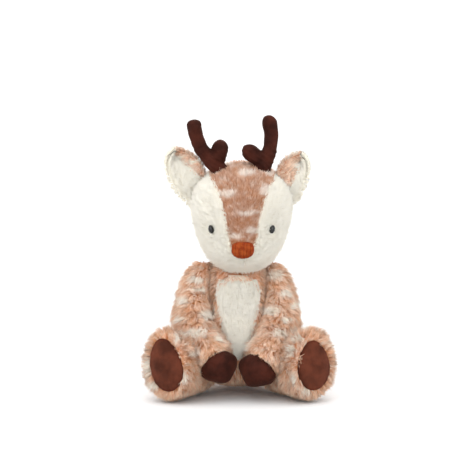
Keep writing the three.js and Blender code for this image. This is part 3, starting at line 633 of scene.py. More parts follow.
def leg_form(name):
    """A leg, straight out from its hip, whose middle rises with its height so that it lies on the floor."""
    points = joint_place(f"leg_{name}_spread") + np.outer(LEG["runs"], leg_ahead(name) * LEG["length"])
    points[:, 2] = LEG["height"] / 2 * np.array(LEG["ups"]) - 0.5
    return Limb(points, LEG["width"], LEG["widths"], LEG["height"], LEG["heights"], facing=leg_ahead(name))


ARM_FORMS = {name: arm_form(name) for name in SIDES}
LEG_FORMS = {name: leg_form(name) for name in SIDES}


def head_surface(share, around):
    """Points of the head at shares of its rise and angles round it from the front. The distance from the
    centre is the rounded larger of the oval's, one over the root of the squared sine over the half width and
    cosine over the half depth, and the far crossing of the same ray with the muzzle's egg."""
    share, around = np.broadcast_arrays(share, around)
    centre, wide, deep = HEAD_FORM.ring(share)
    x, y = np.sin(around), -np.cos(around)
    oval = 1 / np.sqrt((x / np.maximum(wide, 1e-6)) ** 2 + (y / np.maximum(deep, 1e-6)) ** 2)
    away = np.array(MUZZLE["centre"]) - centre
    level = np.clip(1 - (away[..., 2] / MUZZLE["half"][2]) ** 2, 1e-9, None) ** 0.5
    a, b = MUZZLE["half"][0] * level, MUZZLE["half"][1] * level
    square = (x / a) ** 2 + (y / b) ** 2
    half = x * away[..., 0] / a**2 + y * away[..., 1] / b**2
    rest = (away[..., 0] / a) ** 2 + (away[..., 1] / b) ** 2 - 1
    inside = half**2 - square * rest
    far = (half + np.sqrt(np.maximum(inside, 0))) / square
    met = step(0, 0.3, inside / square) * step(0, 0.35, level) * (np.abs(away[..., 2]) < MUZZLE["half"][2])
    distance = larger(far * met, oval, MUZZLE["blend"] * met + 1e-3)
    return np.stack([centre[..., 0] + distance * x, centre[..., 1] + distance * y, centre[..., 2]], -1)


def head_front(x, z):
    """The front of the head at places across and up it, with the direction that it faces there."""
    x, z = np.atleast_1d(np.asarray(x, float)), np.atleast_1d(np.asarray(z, float))
    around = np.linspace(-1.45, 1.45, 241)

    def depth(x, z):
        """The front's y, read between the two ring points beside each x."""
        ring = head_surface(HEAD_FORM.share_at(z)[:, None], around[None])
        best = np.abs(ring[..., 0] - x[:, None]).argmin(1)
        near = np.clip(best, 1, len(around) - 2)
        rows = np.arange(len(x))
        low, high = ring[rows, near - 1], ring[rows, near + 1]
        part = np.clip((x - low[:, 0]) / (high[:, 0] - low[:, 0]), 0, 1)
        return low[:, 1] + (high[:, 1] - low[:, 1]) * part

    y = depth(x, z)
    slope_x = (depth(x + 0.8, z) - depth(x - 0.8, z)) / 1.6
    slope_z = (depth(x, z + 0.8) - depth(x, z - 0.8)) / 1.6
    return np.stack([x, y, z], -1), unit(np.stack([slope_x, -np.ones_like(x), slope_z], -1))


def gusset_half(height):
    """Half the width of the head's tan strip at a height, in straight lines between the listed ones."""
    return np.interp(height, GUSSET_HEIGHTS, GUSSET_HALF_WIDTHS)


def slanted(points):
    """Place across, and height along a line that leans back: z times the cosine plus y times the sine."""
    return points[:, 0], points[:, 2] * np.cos(LEAN_BACK) + points[:, 1] * np.sin(LEAN_BACK)


def spotted(points, normals, spots, seed, patch=(15, 15, 6.5)):
    """How pale the coat is, from 0 to 1: listed ovals with ragged edges in front, and elsewhere noise that
    is stretched round the body, cut at a level that leaves about a third of the coat pale."""
    warp = noises(points, (5, 5, 3), seed, 2) - 0.5
    x, height = slanted(points)
    x, height = x + warp[:, 0] * 7, height + warp[:, 1] * 3.4
    pale = np.zeros(len(points))
    for across, up, wide, tall in spots:
        pale = np.maximum(pale, 1 - step(0.4, 1.4, np.hypot((x - across) / wide, (height - up) / tall)))
    wild = points + (noises(points, 8, seed + 5, 3) - 0.5) * [9, 9, 5]
    scattered = step(0.53, 0.7, noise(wild, patch, seed + 9))
    front = step(-0.15, 0.35, -normals[:, 1])
    mottled = 0.34 * step(0.42, 0.8, noise(points, (3.2, 3.2, 2.4), seed + 12))
    return np.maximum.reduce([pale * front, scattered * (1 - front), mottled])


def pressed(points, forms, reach=2.5):
    """How far each point is pressed by a neighbour, from 0 to 1: eased from reach outside it to its surface."""
    return np.maximum.reduce([step(-reach, 0.5, form.inside(points)) for form in forms])


def shoulder_limit(points):
    """How far to the side the torso may reach: a flat disc round the shoulder, just inside the joint's place,
    and past the disc's edge one and a half times the distance to it further out."""
    at = joint_place("arm_left_lift")
    away = np.hypot(points[..., 1] - at[1], points[..., 2] - at[2])
    return at[0] - SHOULDER_GAP + np.maximum(away - SHOULDER_DISC, 0) * 1.5


def sides_clear_of_arms(points):
    """The torso drawn in beside the shoulders, to the flat disc that each arm lies against."""
    held = points.copy()
    held[..., 0] = np.sign(points[..., 0]) * smaller(np.abs(points[..., 0]), shoulder_limit(points), 4)
    return held


def node_tree(name):
    """A new material with its node tree and its shader."""
    material = bpy.data.materials.new(name)
    material.use_nodes = True
    return material, material.node_tree, material.node_tree.nodes["Principled BSDF"]


def given(node, **values):
    """Sets a node's named sockets, an underscore standing for a space: sockets are linked, values are set."""
    for key, value in values.items():
        socket = node.inputs[key.replace("_", " ")]
        if isinstance(value, bpy.types.NodeSocket):
            node.id_data.links.new(value, socket)
        else:
            socket.default_value = value


def added(tree, kind, **settings):
    """A new node with its settings."""
    node = tree.nodes.new(kind)
    for key, value in settings.items():
        setattr(node, key, value)
    return node


def mixed(tree, factor, first, second):
    """A colour mix whose factor and colours are sockets or constants."""
    node = added(tree, "ShaderNodeMix", data_type="RGBA")
    for socket, value in ((node.inputs[0], factor), (node.inputs[6], first), (node.inputs[7], second)):
        if isinstance(value, bpy.types.NodeSocket):
            tree.links.new(value, socket)
        else:
            socket.default_value = value if isinstance(value, float) else (*value, 1)
    return node.outputs[2]


def ranged(tree, value, low, high, to_low, to_high):
    """A value carried in a straight line from one range to another, and held at its ends."""
    node = added(tree, "ShaderNodeMapRange")
    given(node, Value=value, From_Min=low, From_Max=high, To_Min=to_low, To_Max=to_high)
    return node.outputs["Result"]


def noise_node(tree, scale, detail=2.0):
    """Noise on the object's own coordinates."""
    node = added(tree, "ShaderNodeTexNoise")
    given(node, Scale=scale, Detail=detail, Vector=added(tree, "ShaderNodeTexCoord").outputs["Object"])
    return node.outputs["Fac"]


def mottled(tree, noise_value, first, second, low=0.3, high=0.7):
    """From one colour to the other as the noise goes from low to high."""
    return mixed(tree, ranged(tree, noise_value, low, high, 0.0, 1.0), first, second)


def bumped(tree, shader, height, **values):
    """Lets the light see a height that the geometry leaves out."""
    bump = added(tree, "ShaderNodeBump")
    given(bump, Height=height, **values)
    given(shader, Normal=bump.outputs["Normal"])


def pile_material(name, root, tip, pale_root, pale_tip, sheen, swing):
    """Pile fabric: from the root's colour to the tip's along each strand, towards the pale pair by each strand's
    tone, a little lighter or darker from strand to strand and from patch to patch. Where a piece puts it in the
    vary attribute, the lightness is also painted light, as towards the back of the head."""
    material, tree, shader = node_tree(name)
    tone, run, vary = (added(tree, "ShaderNodeAttribute", attribute_name=key).outputs["Fac"]
                       for key in ("tone", "tip", "vary"))
    shade = added(tree, "ShaderNodeHueSaturation")
    given(shade, Color=mixed(tree, tone, mixed(tree, run, root, tip), mixed(tree, run, pale_root, pale_tip)),
          Value=ranged(tree, vary, 0, 1, 1 - swing, 1 + swing),
          Saturation=ranged(tree, noise_node(tree, 60), 0.3, 0.7, 0.95, 1.1))
    given(shader, Base_Color=shade.outputs["Color"], Roughness=ranged(tree, run, 0, 1, 0.95, 0.72),
          Specular_IOR_Level=0.1, Sheen_Weight=sheen, Sheen_Roughness=0.45, Sheen_Tint=(1.0, 0.94, 0.88, 1))
    return material


def velour_material(name, colour, light):
    """Velour: short nap whose colour drifts in broad patches, lighter and darker, partly the nap's own brushing
    and partly a painted sheen, with a soft sheen at the edges and a grain.
    """
    material, tree, shader = node_tree(name)
    base = np.array(colour)
    # Broad patches from 0.55 times to light times the colour: the brushed nap's own drift together with a painted
    # sheen of its lit and shaded faces.
    nap_and_painted_sheen = mottled(tree, noise_node(tree, 62, 3), base * 0.55, base * light, 0.38, 0.62)
    grain = mottled(tree, noise_node(tree, 1700), base * 0.7, base * 1.3)
    given(shader, Base_Color=mixed(tree, 0.22, nap_and_painted_sheen, grain),
          Roughness=ranged(tree, noise_node(tree, 300), 0.3, 0.7, 0.74, 0.92),
          Specular_IOR_Level=0.1, Sheen_Weight=0.16, Sheen_Roughness=0.3, Sheen_Tint=(0.95, 0.5, 0.34, 1))
    bumped(tree, shader, noise_node(tree, 1500, 3), Strength=0.35, Distance=0.0004)
    return material


def smooth_material(name, colour, roughness, gloss):
    """Moulded plastic: a plain colour with a faint haze of fine scratches in its roughness."""
    material, tree, shader = node_tree(name)
    haze = noise_node(tree, 900, 3)
    given(shader, Base_Color=mottled(tree, haze, np.array(colour) * 0.9, colour), Specular_IOR_Level=gloss,
          Roughness=ranged(tree, haze, 0.3, 0.7, roughness, roughness * 1.5))
    return material


def thread_material(name, colour, edge):
    """Stitching thread: twisted fine, with painted shade in the hollows of the twist and a painted highlight, a
    little lighter, where the light slides.
    """
    material, tree, shader = node_tree(name)
    twist = noise_node(tree, 2600)
    # The fine twist noise paints shade, 0.72 times the colour, and a highlight, 1.15 times it, over the thread.
    shade = mottled(tree, twist, np.array(colour) * 0.72, np.array(colour) * 1.15)
    drift = ranged(tree, noise_node(tree, 220), 0.42, 0.62, 0.0, 0.7)
    given(shader, Base_Color=mixed(tree, drift, shade, edge), Specular_IOR_Level=0.15,
          Roughness=ranged(tree, twist, 0.3, 0.7, 0.45, 0.7))
    return material


def filling_material(name, colour):
    """Fibre filling or sack cloth: a plain pale colour, mottled, with a coarse soft bump."""
    material, tree, shader = node_tree(name)
    wool = noise_node(tree, 420, 5)
    given(shader, Base_Color=mottled(tree, wool, np.array(colour) * 0.82, colour),
          Roughness=ranged(tree, wool, 0.3, 0.7, 0.82, 1.0))
    bumped(tree, shader, wool, Distance=0.001)
    return material


def finish_of(kind):
    """The material of one finish, made when it is first asked for from the scene's colours."""
    if kind in bpy.data.materials:
        return bpy.data.materials[kind]
    colours = bpy.context.scene.deer_colours
    cream = tuple(colours.cream_root), tuple(colours.cream)
    maker, *values = {
        "Spotted coat": (
            pile_material, colours.coat_root, colours.coat, colours.spot_root, colours.spot, 0.08, 0.2),
        "Head pile": (
            pile_material, colours.head_root, colours.head, linear(222, 202, 187), linear(238, 226, 215),
            0.05, 0.3),
        "Cream plush": (pile_material, *cream, *cream, 0.1, 0.03),
        "Velour": (velour_material, colours.velour, 1.5),
        "Sole velour": (velour_material, colours.sole, 1.4),
        "Nose thread": (thread_material, colours.nose, linear(164, 78, 30)),
        "Mouth thread": (thread_material, linear(236, 228, 214), linear(222, 212, 196)),
        "Eye plastic": (smooth_material, colours.eye, 0.1, 0.5),
        "Washer plastic": (smooth_material, linear(222, 222, 222), 0.4, 0.5),
        "Fibre filling": (filling_material, linear(244, 242, 238)),
        "Sack cloth": (filling_material, linear(222, 212, 196)),
    }[kind]
    return maker(kind, *values)


def seen_at(made):
    """Where each strand shows most: two thirds of the way from its root to its tip."""
    points = made["points"].reshape(-1, SPINDLE_POINTS, 3)
    return points[:, 0] / 3 + points[:, -1] * 2 / 3


def coat_fur(root, normal, comb, share, lean, press, seed, loose=0.26, droop=0.0):
    """Coat strands with their tone, as long as a share of the coat. Where a neighbour presses, they are shorter
    and lie flat. Waves of noise turn the comb direction and the lean."""
    pile = bpy.context.scene.deer_pile
    under = step(0.05, 0.85, -normal[:, 2]) * (1 - step(9, 20, root[:, 2]))
    waves = noises(root, 8, seed + 50, 4) - 0.5
    comb, lean = comb + 1.3 * waves[:, :3], lean + 34 * waves[:, 3]
    length = pile.coat / MM * share * (1 - 0.2 * press) * (1 - 0.55 * under)
    made = strands(root, normal, comb, length, seed, lean=lean + (66 - lean) * press, tuft=pile.tuft / MM,
                   loose=loose, droop=droop, **STYLES["coat"])
    tone = spotted(seen_at(made), normal, FRONT_SPOTS, 31)
    tone = tone + 0.16 * np.random.default_rng(seed).normal(0, 1, len(tone)) * step(0, 0.2, tone)
    made["tone"] = np.repeat(np.clip(tone, 0, 1), SPINDLE_POINTS)
    return made


def coat_piece(name, backing, fur, body, node):
    """A piece of the spotted coat: its backing cloth with the fur on it."""
    cloth = cloth_part(backing, spotted(backing[0], normals_of(*backing), FRONT_SPOTS, 31))
    settle(piled(name, [cloth, fur], "Spotted coat"), body, node)


def plush_piece(name, skin, grid, made, body, node):
    """A piece of the cream plush: a shell of cloth with the pile on it."""
    settle(piled(name, [sheet_part(skin, *grid, 0.0), made], "Cream plush"), body, node)


def turns(count):
    """Angles once round, with the first not repeated."""
    return np.linspace(0, 2 * np.pi, count, endpoint=False)


def torso_skin(inset):
    """Ovals stacked up the body, each the centre plus half the width times the cosine and half the depth times
    the sine of the turn, drawn in beside the arms and then moved in by the inset."""
    turn = turns(72)
    centre, wide, deep = (part[:, None] for part in TORSO_FORM.ring(eased(46)))
    around = np.stack([np.cos(turn) * wide, np.sin(turn) * deep, 0 * turn * wide], -1)
    points, triangles = moved_out(tube(sides_clear_of_arms(centre + around)), -inset)
    return above_floor(points), triangles


def belly_half(heights):
    """Half the width of the cream panel at heights, in straight lines between the listed ones."""
    rises = BELLY["top"] - BELLY["height"] * (1 - np.array(BELLY_RISES))
    return BELLY["width"] / 2 * np.interp(heights, rises, BELLY_WIDTHS)


def make_torso():
    """The torso's coat, with fur combed down it, kept off the cream panel's place behind a ragged edge."""
    backing = torso_skin(COAT_BACKING)
    root, normal = sown(backing, "torso", 1)
    top = np.clip((root[:, 2] - BELLY["top"] + 13) / 11, 0, 1)
    half = belly_half(root[:, 2]) * np.sqrt(1 - top**2) + (noise(root, 3, 11) - 0.5) * 3.5
    in_belly = (np.abs(root[:, 0]) < half - 1.2) & (normal[:, 1] < 0) & (top < 1) & (root[:, 2] > 39)
    keep = ~in_belly & (HEAD_FORM.inside(root) < 3)
    root, normal = root[keep], normal[keep]
    press = pressed(root, [*ARM_FORMS.values(), *LEG_FORMS.values()])
    share = 0.95 - 0.5 * (1 - step(5, 22, root[:, 2]))
    fur = coat_fur(root, normal, np.tile(-UP, (len(root), 1)), share, 48, press, 2, droop=0.1)
    coat_piece("torso_coat", backing, fur, "torso", "torso_cover")


def make_belly():
    """The cream front panel: the torso's front between the panel's edges, tucked in at its seam."""
    rows, columns = BELLY_GRID
    plush = bpy.context.scene.deer_pile.plush / MM
    heights = np.linspace(BELLY["top"] - BELLY["height"], BELLY["top"] + 1.5, rows)
    across = np.linspace(-1, 1, columns)
    centre, wide, deep = TORSO_FORM.ring(TORSO_FORM.share_at(heights))
    x = belly_half(heights)[:, None] * across[None]

    def front(inset):
        """The centre less the depth times the root of one less the square of the share across."""
        y = centre[:, 1:2] - (deep[:, None] - inset) * np.sqrt(1 - (x / wide[:, None]) ** 2)
        return np.stack([x, y, np.broadcast_to(heights[:, None], x.shape)], -1)

    ends = step(0.9, 1.0, np.abs(np.linspace(-1, 1, rows)))
    edge = np.maximum(step(0.8, 1.0, np.abs(across))[None], ends[:, None])
    skin = shell(front(2.6 + 1.9 * edge), front(6.5 + 0 * edge))
    root, normal = sown((skin[0], grid_triangles(rows, columns, False)), "belly", 3)
    normal = normal * np.where(normal[:, 1:2] > 0, -1, 1)
    keep = root[:, 2] < BELLY["top"] - 3
    root, normal = root[keep], normal[keep]
    press = pressed(root, ARM_FORMS.values())
    made = strands(root, normal, np.tile(-UP, (len(root), 1)), plush * (1.1 - 0.4 * press), 4,
                   lean=40 + 30 * press, **STYLES["belly"])
    plush_piece("belly_plush", skin, BELLY_GRID, made, "torso", "belly_panel")


def head_skin(inset):
    """The head's closed surface, moved in by the inset."""
    return moved_out(tube(head_surface(eased(72)[:, None], turns(108)[None])), -inset)


def in_gusset(points, ragged=0.9):
    """Whether points lie in the tan strip or behind the back seam, with the border moved by noise, raggedly."""
    edge = (noise(points, 2.2, 71) - 0.5) * 2 * ragged
    strip = (np.abs(points[:, 0] - GUSSET_CENTRE) + edge < gusset_half(points[:, 2])) & (points[:, 2] > 136)
    return strip | (points[:, 1] + edge * 2.4 > BACK_SEAM)


def oval_share(points, place, size, reach):
    """Each point's share of an upright oval that reaches past its place's own: 1 on its edge."""
    wide, tall = size["width"] / 2 + reach, size["height"] / 2 + reach
    return np.hypot((points[:, 0] - place[0]) / wide, (points[:, 2] - place[1]) / tall)


def around_eyes(points, reach):
    """How near each point is to an eye, from 0 to 1, eased over a few millimetres past the eye's oval."""
    near = np.zeros(len(points))
    for side in SIDES.values():
        place = HEAD["place"][0] + side * EYE["apart"] / 2, EYE["height_on_head"]
        share = oval_share(points, place, EYE, reach)
        near = np.maximum(near, (1 - step(0.75, 1.25, share)) * (points[:, 1] < -20))
    return near


def near_nose(points, reach):
    """How near each point is to the nose, from 0 to 1, eased over its oval's edge."""
    return (1 - step(0.85, 1.1, oval_share(points, (NOSE["x"], NOSE["z"]), NOSE, reach))) * (points[:, 1] < -30)


def make_gusset():
    """The tan strip from nose to nape: the whole head's backing, with pile where the strip and the back are. Its
    colour is painted lighter towards the back of the head, as painted light for the side that the lamps light
    less.
    """
    backing = head_skin(HEAD_BACKING)
    root, normal = sown(backing, "gusset", 5)
    keep = in_gusset(root) & (TORSO_FORM.inside(root) < 4) & (near_nose(root, 0) < 0.5)
    root, normal = root[keep], normal[keep]
    comb = along_skin(root - np.array([NOSE["x"], -70, NOSE["z"]]), normal)
    length = bpy.context.scene.deer_pile.head / MM * (1 - 0.45 * near_nose(root, 3))
    length = length * (1 - 0.3 * around_eyes(root, 2)) * (1 + 0.25 * step(-2, 25, root[:, 1]))
    made = strands(root, normal, comb, length, 6, **STYLES["gusset"])
    made["tone"] = np.repeat(spotted(seen_at(made), normal, HEAD_SPOTS, 47), SPINDLE_POINTS)
    cloth = cloth_part(backing, spotted(backing[0], normals_of(*backing), HEAD_SPOTS, 47))
    # Painted light: the strip's strands and cloth are made lighter towards the back of the head, which the lamps
    # light less; the strand-to-strand lightness is also damped here.
    for part in (cloth, made):
        part["vary"] = 0.5 + 0.43 * (part["vary"] - 0.5) + 0.42 * step(-8, 20, part["points"][:, 1])
    piece = piled("head_gusset_pile", [cloth, made], "Head pile")
    settle(piece, "head", "head_gusset")


def make_faces():
    """The cream cheeks: the head's surface from the gusset's edge to the seam before the ears, on each side."""
    plush = bpy.context.scene.deer_pile.plush / MM
    fine = np.linspace(0, np.pi * 0.75, 400)
    heights = np.concatenate([np.linspace(117.6, 128, 8)[:-1], np.linspace(128, 212, 52)])
    share = HEAD_FORM.share_at(heights)
    part = np.linspace(0, 1, 44)
    grid = len(heights), len(part)
    flat = grid_triangles(*grid, False)
    over_chin = step(134, 140, heights)
    edge = np.maximum(step(0.93, 1.0, part)[None], (1 - step(0.0, 0.05, part))[None] * over_chin[:, None])
    edge = np.maximum(edge, step(200, 211, heights)[:, None])
    for name, side in SIDES.items():
        ring = head_surface(share[:, None], side * fine[None])
        out = side * (ring[..., 0] - GUSSET_CENTRE)
        most = out.argmax(1)
        starts, ends = np.zeros(len(heights)), np.zeros(len(heights))
        for row in range(len(heights)):
            rise = slice(0, most[row] + 1)
            starts[row] = np.interp(gusset_half(heights[row]), out[row, rise], fine[rise])
            ends[row] = np.interp(BACK_SEAM, ring[row, :, 1], fine)
        starts = starts - 0.02 * (1 - over_chin)
        ends = np.maximum(ends, starts + 1e-3)
        around = starts[:, None] + (ends - starts)[:, None] * part[None]
        surface = head_surface(share[:, None], side * around)
        normal = normals_of(surface.reshape(-1, 3), flat).reshape(surface.shape)
        middles = np.full(len(share), HEAD["place"][0]), HEAD_FORM.ring(share)[0][:, 1], heights
        away = surface - np.stack(middles, -1)[:, None]
        normal = normal * np.sign(np.einsum("rci,rci->rc", normal, away))[..., None]
        dimple = around_eyes(surface.reshape(-1, 3), 1.5).reshape(grid)
        skin = shell(surface - normal * (3.2 + 1.6 * edge + 0.8 * dimple)[..., None], surface - normal * 6.5)
        root, face = sown((skin[0], flat), "face", 7 + side)
        away = root - np.array([HEAD["place"][0], -8, 165])
        face = face * np.sign(np.einsum("ni,ni->n", face, away))[:, None]
        keep = (~in_gusset(root, 0.7) | (root[:, 2] < 136)) & (TORSO_FORM.inside(root) < 3)
        keep &= (near_nose(root, 0) < 0.5) & (around_eyes(root, -1.2) < 0.5)
        root, face = root[keep], face[keep]
        comb = along_skin(root - np.array([NOSE["x"], -70, NOSE["z"] + 4]) - UP * 10, face)
        length = plush * (1 - 0.5 * around_eyes(root, 1.6)) * (1 - 0.4 * near_nose(root, 2))
        made = strands(root, face, comb, length, 9 + side, **STYLES["face"])
        plush_piece(f"face_plush_{name}", skin, grid, made, "head", f"face_panel_{name}")


def make_eyes():
    """Each eye: an egg whose oval is tilted and which faces as the cheek does, half sunk in the pile."""
    rise, turn = np.linspace(0, np.pi, 25)[:, None], turns(40)[None]
    for name, side in SIDES.items():
        seat, normal = head_front(HEAD["place"][0] + side * EYE["apart"] / 2, EYE["height_on_head"])
        seat, normal = seat[0], normal[0]
        over = unit(UP - normal[2] * normal)
        across = np.cross(over, normal)
        tilt = np.radians(side * EYE["tilt"])
        tall = over * np.cos(tilt) + across * np.sin(tilt)
        ball = (np.sin(rise) * np.cos(turn))[..., None] * np.cross(tall, normal) * EYE["width"] / 2
        ball = ball + (np.sin(rise) * np.sin(turn))[..., None] * tall * EYE["height"] / 2
        ball = ball + (np.cos(rise) + 0 * turn)[..., None] * normal * EYE["dome"]
        piece = plain(f"eye_button_{name}", [tube(seat + normal * 0.2 + ball)], "Eye plastic")
        settle(piece, "head", f"eye_{name}")


def round_rings(path, radius, sideways, turn):
    """Rings along a path: the path plus the radius times two directions square to its run, the one also square
    to a given direction and the other to both, times the turn's sine and cosine."""
    ahead = unit(np.gradient(path, axis=0))
    over = unit(np.cross(ahead, sideways))
    across = np.cross(ahead, over)
    ring = np.cos(turn)[None, :, None] * across[:, None] + np.sin(turn)[None, :, None] * over[:, None]
    return path[:, None] + radius * ring


def thread_tube(path, radius, sides=6):
    """A closed round thread along a path."""
    grid = round_rings(path, radius, np.array([0.31, 0.2, 0.93]), turns(sides))
    first, last = (np.broadcast_to(path[end], (1, sides, 3)) for end in (0, -1))
    return tube(np.concatenate([first, grid, last]))


def nose_square(v):
    """The power that squares the nose's outline: higher above its middle, so that its top is flatter."""
    return np.where(v > 0, NOSE["square_top"], NOSE["square_bottom"])


def on_nose(u, v, lift):
    """Points on the head's front, raised by the bulge times the root of one less the share of the rim. The
    share is the sum of the powers of both places, to the power of two over that power."""
    seat, normal = head_front(NOSE["x"] + NOSE["width"] / 2 * u, NOSE["z"] + NOSE["height"] / 2 * v)
    share = (np.abs(u) ** nose_square(v) + np.abs(v) ** nose_square(v)) ** (2 / nose_square(v))
    return seat + normal * (NOSE["bulge"] * np.sqrt(np.maximum(1 - share, 0)) - 1.2 + lift)[:, None]


def make_nose():
    """The stitched nose, threads laid side by side down an oval pad, and the mouth, two twisted threads."""
    rng = np.random.default_rng(12)
    rise = np.linspace(-1, 1, 19)
    skins = []
    for k in range(NOSE["threads"]):
        u = np.full(len(rise), -0.965 + 1.93 * k / (NOSE["threads"] - 1))
        reach = (1 - np.abs(u[0]) ** nose_square(rise)) ** (1 / nose_square(rise))
        v = rise * reach * (1 + 0.02 * rng.normal())
        lean = u + 0.015 * rng.normal() + 0.02 * v
        path = on_nose(lean * 0.97, v * 0.97, 0.1 * rng.random(len(rise)))
        skins.append(thread_tube(path, 0.44 + 0.08 * rng.random()))
    turn = turns(60)
    rim_u, rim_v = np.cos(turn), np.sin(turn)
    square = nose_square(rim_v)
    size = (np.abs(rim_u) ** square + np.abs(rim_v) ** square) ** (-1 / square)
    inner = np.linspace(0, 1, 9)[:, None] * size * 0.96
    u, v = inner * rim_u, inner * rim_v
    front = on_nose(u.ravel(), v.ravel(), np.full(u.size, -0.25)).reshape(9, 60, 3)
    behind = front.copy()
    behind[..., 1] = np.maximum(behind[..., 1] + 1.5, front[-1, :, 1].max() + 2.0)
    skins.append(tube(np.concatenate([front, behind[::-1]])))
    settle(plain("nose_stitching", skins, "Nose thread"), "head", "nose")
    run = np.linspace(0, 1, 15)
    threads = []
    for strand in range(2):
        spin = run * 9 + strand * np.pi
        height = MOUTH["low"] + (MOUTH["high"] - MOUTH["low"]) * run
        seat, normal = head_front(MOUTH["x"] + 0.35 * np.cos(spin), height)
        threads.append(thread_tube(seat + normal * (0.2 + 0.3 * np.sin(spin))[:, None], MOUTH["radius"]))
    settle(plain("mouth_thread", threads, "Mouth thread"), "head", "mouth_stitch")


def ear_surface(name, s, t):
    """The ear's middle leaf: between its lower and upper edges, each a curve of shares of the ear's sizes, with
    its middle pushed back by the cup times half a wave across. s runs along the ear and t from edge to edge."""
    side, size = SIDES[name], EAR[name]
    at, run = joint_place(f"ear_{name}_fold"), np.array(JOINTS[f"ear_{name}_fold"]["axis"])
    run = run / run[2] * (EAR["top"] - EAR["foot"])
    foot, top = at - run / 2, at + run / 2
    low, high = along(EAR["lows"], s), along(EAR["highs"], s)
    out = size["low"] * low[..., 0] * (1 - t) + size["high"] * high[..., 0] * t
    rise = size["rise"] * low[..., 1] * (1 - t) + size["crest"] * high[..., 1] * t
    cup = EAR["cup"] * along(EAR["cups"], s) * np.sin(np.pi * t)
    seam = foot + (top - foot) * t[..., None]
    return seam + np.stack([side * (out - EAR["sink"]), cup, rise], -1)


def ear_padding(s, t):
    """How full the ear is, from 0 to 1: the root of one less the cube of twice the distance from its middle
    line, times the root of one less the sixth power of s."""
    across, ahead = 1 - np.abs(2 * t - 1) ** 3, 1 - np.clip(s, 0, 1) ** 6
    return np.sqrt(np.clip(across, 0, 1)) * np.sqrt(np.clip(ahead, 0, 1))


def set_back(points, depth):
    """Points moved back by a depth of their own."""
    return points + np.stack([0 * depth, depth, 0 * depth], -1)


def ear_spots(points, normals):
    """How pale the ears' backs are: their spots, on a ground that is paler than the coat's."""
    return np.clip(spotted(points, normals, EAR_SPOTS, 53, patch=(11, 11, 7)) * 0.85 + 0.2, 0, 1)


def make_ears():
    """Each ear: two padded leaves back to back, the spotted outer one folding round the inner edge to the
    front. Strands lie along the ear, and at the lining's rim they also turn away from its middle."""
    rows, columns = EAR_GRID
    pile = bpy.context.scene.deer_pile
    s = eased(rows)[:, None] * np.ones(columns)
    t = eased(columns)[None] * np.ones((rows, 1))
    inset = np.minimum(t / 0.13, (1 - s) / 0.09)
    for name, side in SIDES.items():
        fold = along(EAR[name]["fold"], s)
        tip = ear_surface(name, np.array([1.0]), np.array([0.5]))[0]
        leaf, full = ear_surface(name, s, t), ear_padding(s, t)
        folded = -0.2 - 2.2 * step(-0.03, 0.06, t - fold) * full
        outer = shell(set_back(leaf, 0.2 + (EAR["outer"] - 1.4) * full), set_back(leaf, folded))
        values = np.tile(np.stack([(t - fold).ravel(), inset.ravel()], -1), (2, 1))
        root, normal, values = sown(outer, "outer", 25 + side, values)
        keep = (HEAD_FORM.inside(root) < 3.5) & (values[:, 1] > 0.55)
        keep &= (values[:, 0] > -0.02) | (normal[:, 1] > 0.35)
        root, normal = root[keep], normal[keep]
        made = strands(root, normal, unit(tip - root), pile.head / MM * 0.95, 24 + side, **STYLES["outer"])
        made["tone"] = np.repeat(ear_spots(root, normal), SPINDLE_POINTS)
        rim = 1 - step(0.8, 1.2, np.tile(inset.ravel(), 2))
        cloth = np.maximum(ear_spots(outer[0], normals_of(*outer)), rim)
        piece = piled(f"ear_back_{name}", [sheet_part(outer, *EAR_GRID, cloth), made], "Spotted coat")
        settle(piece, f"ear_{name}", f"ear_outer_{name}")

        leaf, full = ear_surface(name, s, t * fold), ear_padding(s, t * 0.6)
        lining = shell(set_back(leaf, 0.1 + 0 * s), set_back(leaf, -0.9 - (EAR["lining"] - 1.7) * full))
        root, normal, bare = sown(lining, "lining", 26 + side, np.tile(1 - full.ravel()[:, None], (2, 1)))
        keep = (HEAD_FORM.inside(root) < 3.5) & (normal[:, 1] < 0.8)
        root, normal, edge = root[keep], normal[keep], step(0.15, 0.85, bare[keep, 0])
        half_way = np.full(1, 0.55)
        middle = ear_surface(name, half_way, 0.5 * along(EAR[name]["fold"], half_way))
        comb = unit(tip - root) + 0.7 * unit((root - middle) * [1, 0.2, 1]) * edge[:, None]
        made = strands(root, normal, comb, pile.plush / MM * 1.1 * (1 + 0.15 * edge), 24 + side,
                       soft=0.95 - 0.85 * edge, **STYLES["lining"])
        plush_piece(f"ear_front_{name}", lining, EAR_GRID, made, f"ear_{name}", f"ear_lining_{name}")


def remeshed(piece, voxel, rounds):
    """The piece as one skin of even cells, smoothed: its fork becomes a soft crotch."""
    remesh = piece.modifiers.new("Remesh", "REMESH")
    remesh.mode = "VOXEL"
    remesh.voxel_size = voxel * MM
    soften = piece.modifiers.new("Smooth", "SMOOTH")
    soften.factor, soften.iterations = 0.5, rounds
    shaped = bpy.data.meshes.new_from_object(piece.evaluated_get(bpy.context.evaluated_depsgraph_get()))
    piece.modifiers.clear()
    old, piece.data = piece.data, shaped
    name, material = old.name, old.materials[0]
    bpy.data.meshes.remove(old)
    shaped.name = name
    if not shaped.materials:
        shaped.materials.append(material)
    shaped.polygons.foreach_set("use_smooth", np.ones(len(shaped.polygons), bool))


def shifted(piece, move):
    """Moves each point of a mesh along its normal by what move gives for the points, in millimetres."""
    mesh = piece.data
    count = len(mesh.vertices)
    points, normals = np.empty(count * 3, np.float32), np.empty(count * 3, np.float32)
    mesh.vertices.foreach_get("co", points)
    mesh.vertex_normals.foreach_get("vector", normals)
    points, normals = points.reshape(-1, 3) / MM, normals.reshape(-1, 3)
    points = points + normals * move(points.astype(float), normals)[:, None]
    mesh.vertices.foreach_set("co", (points * MM).astype(np.float32).ravel())
    mesh.update()


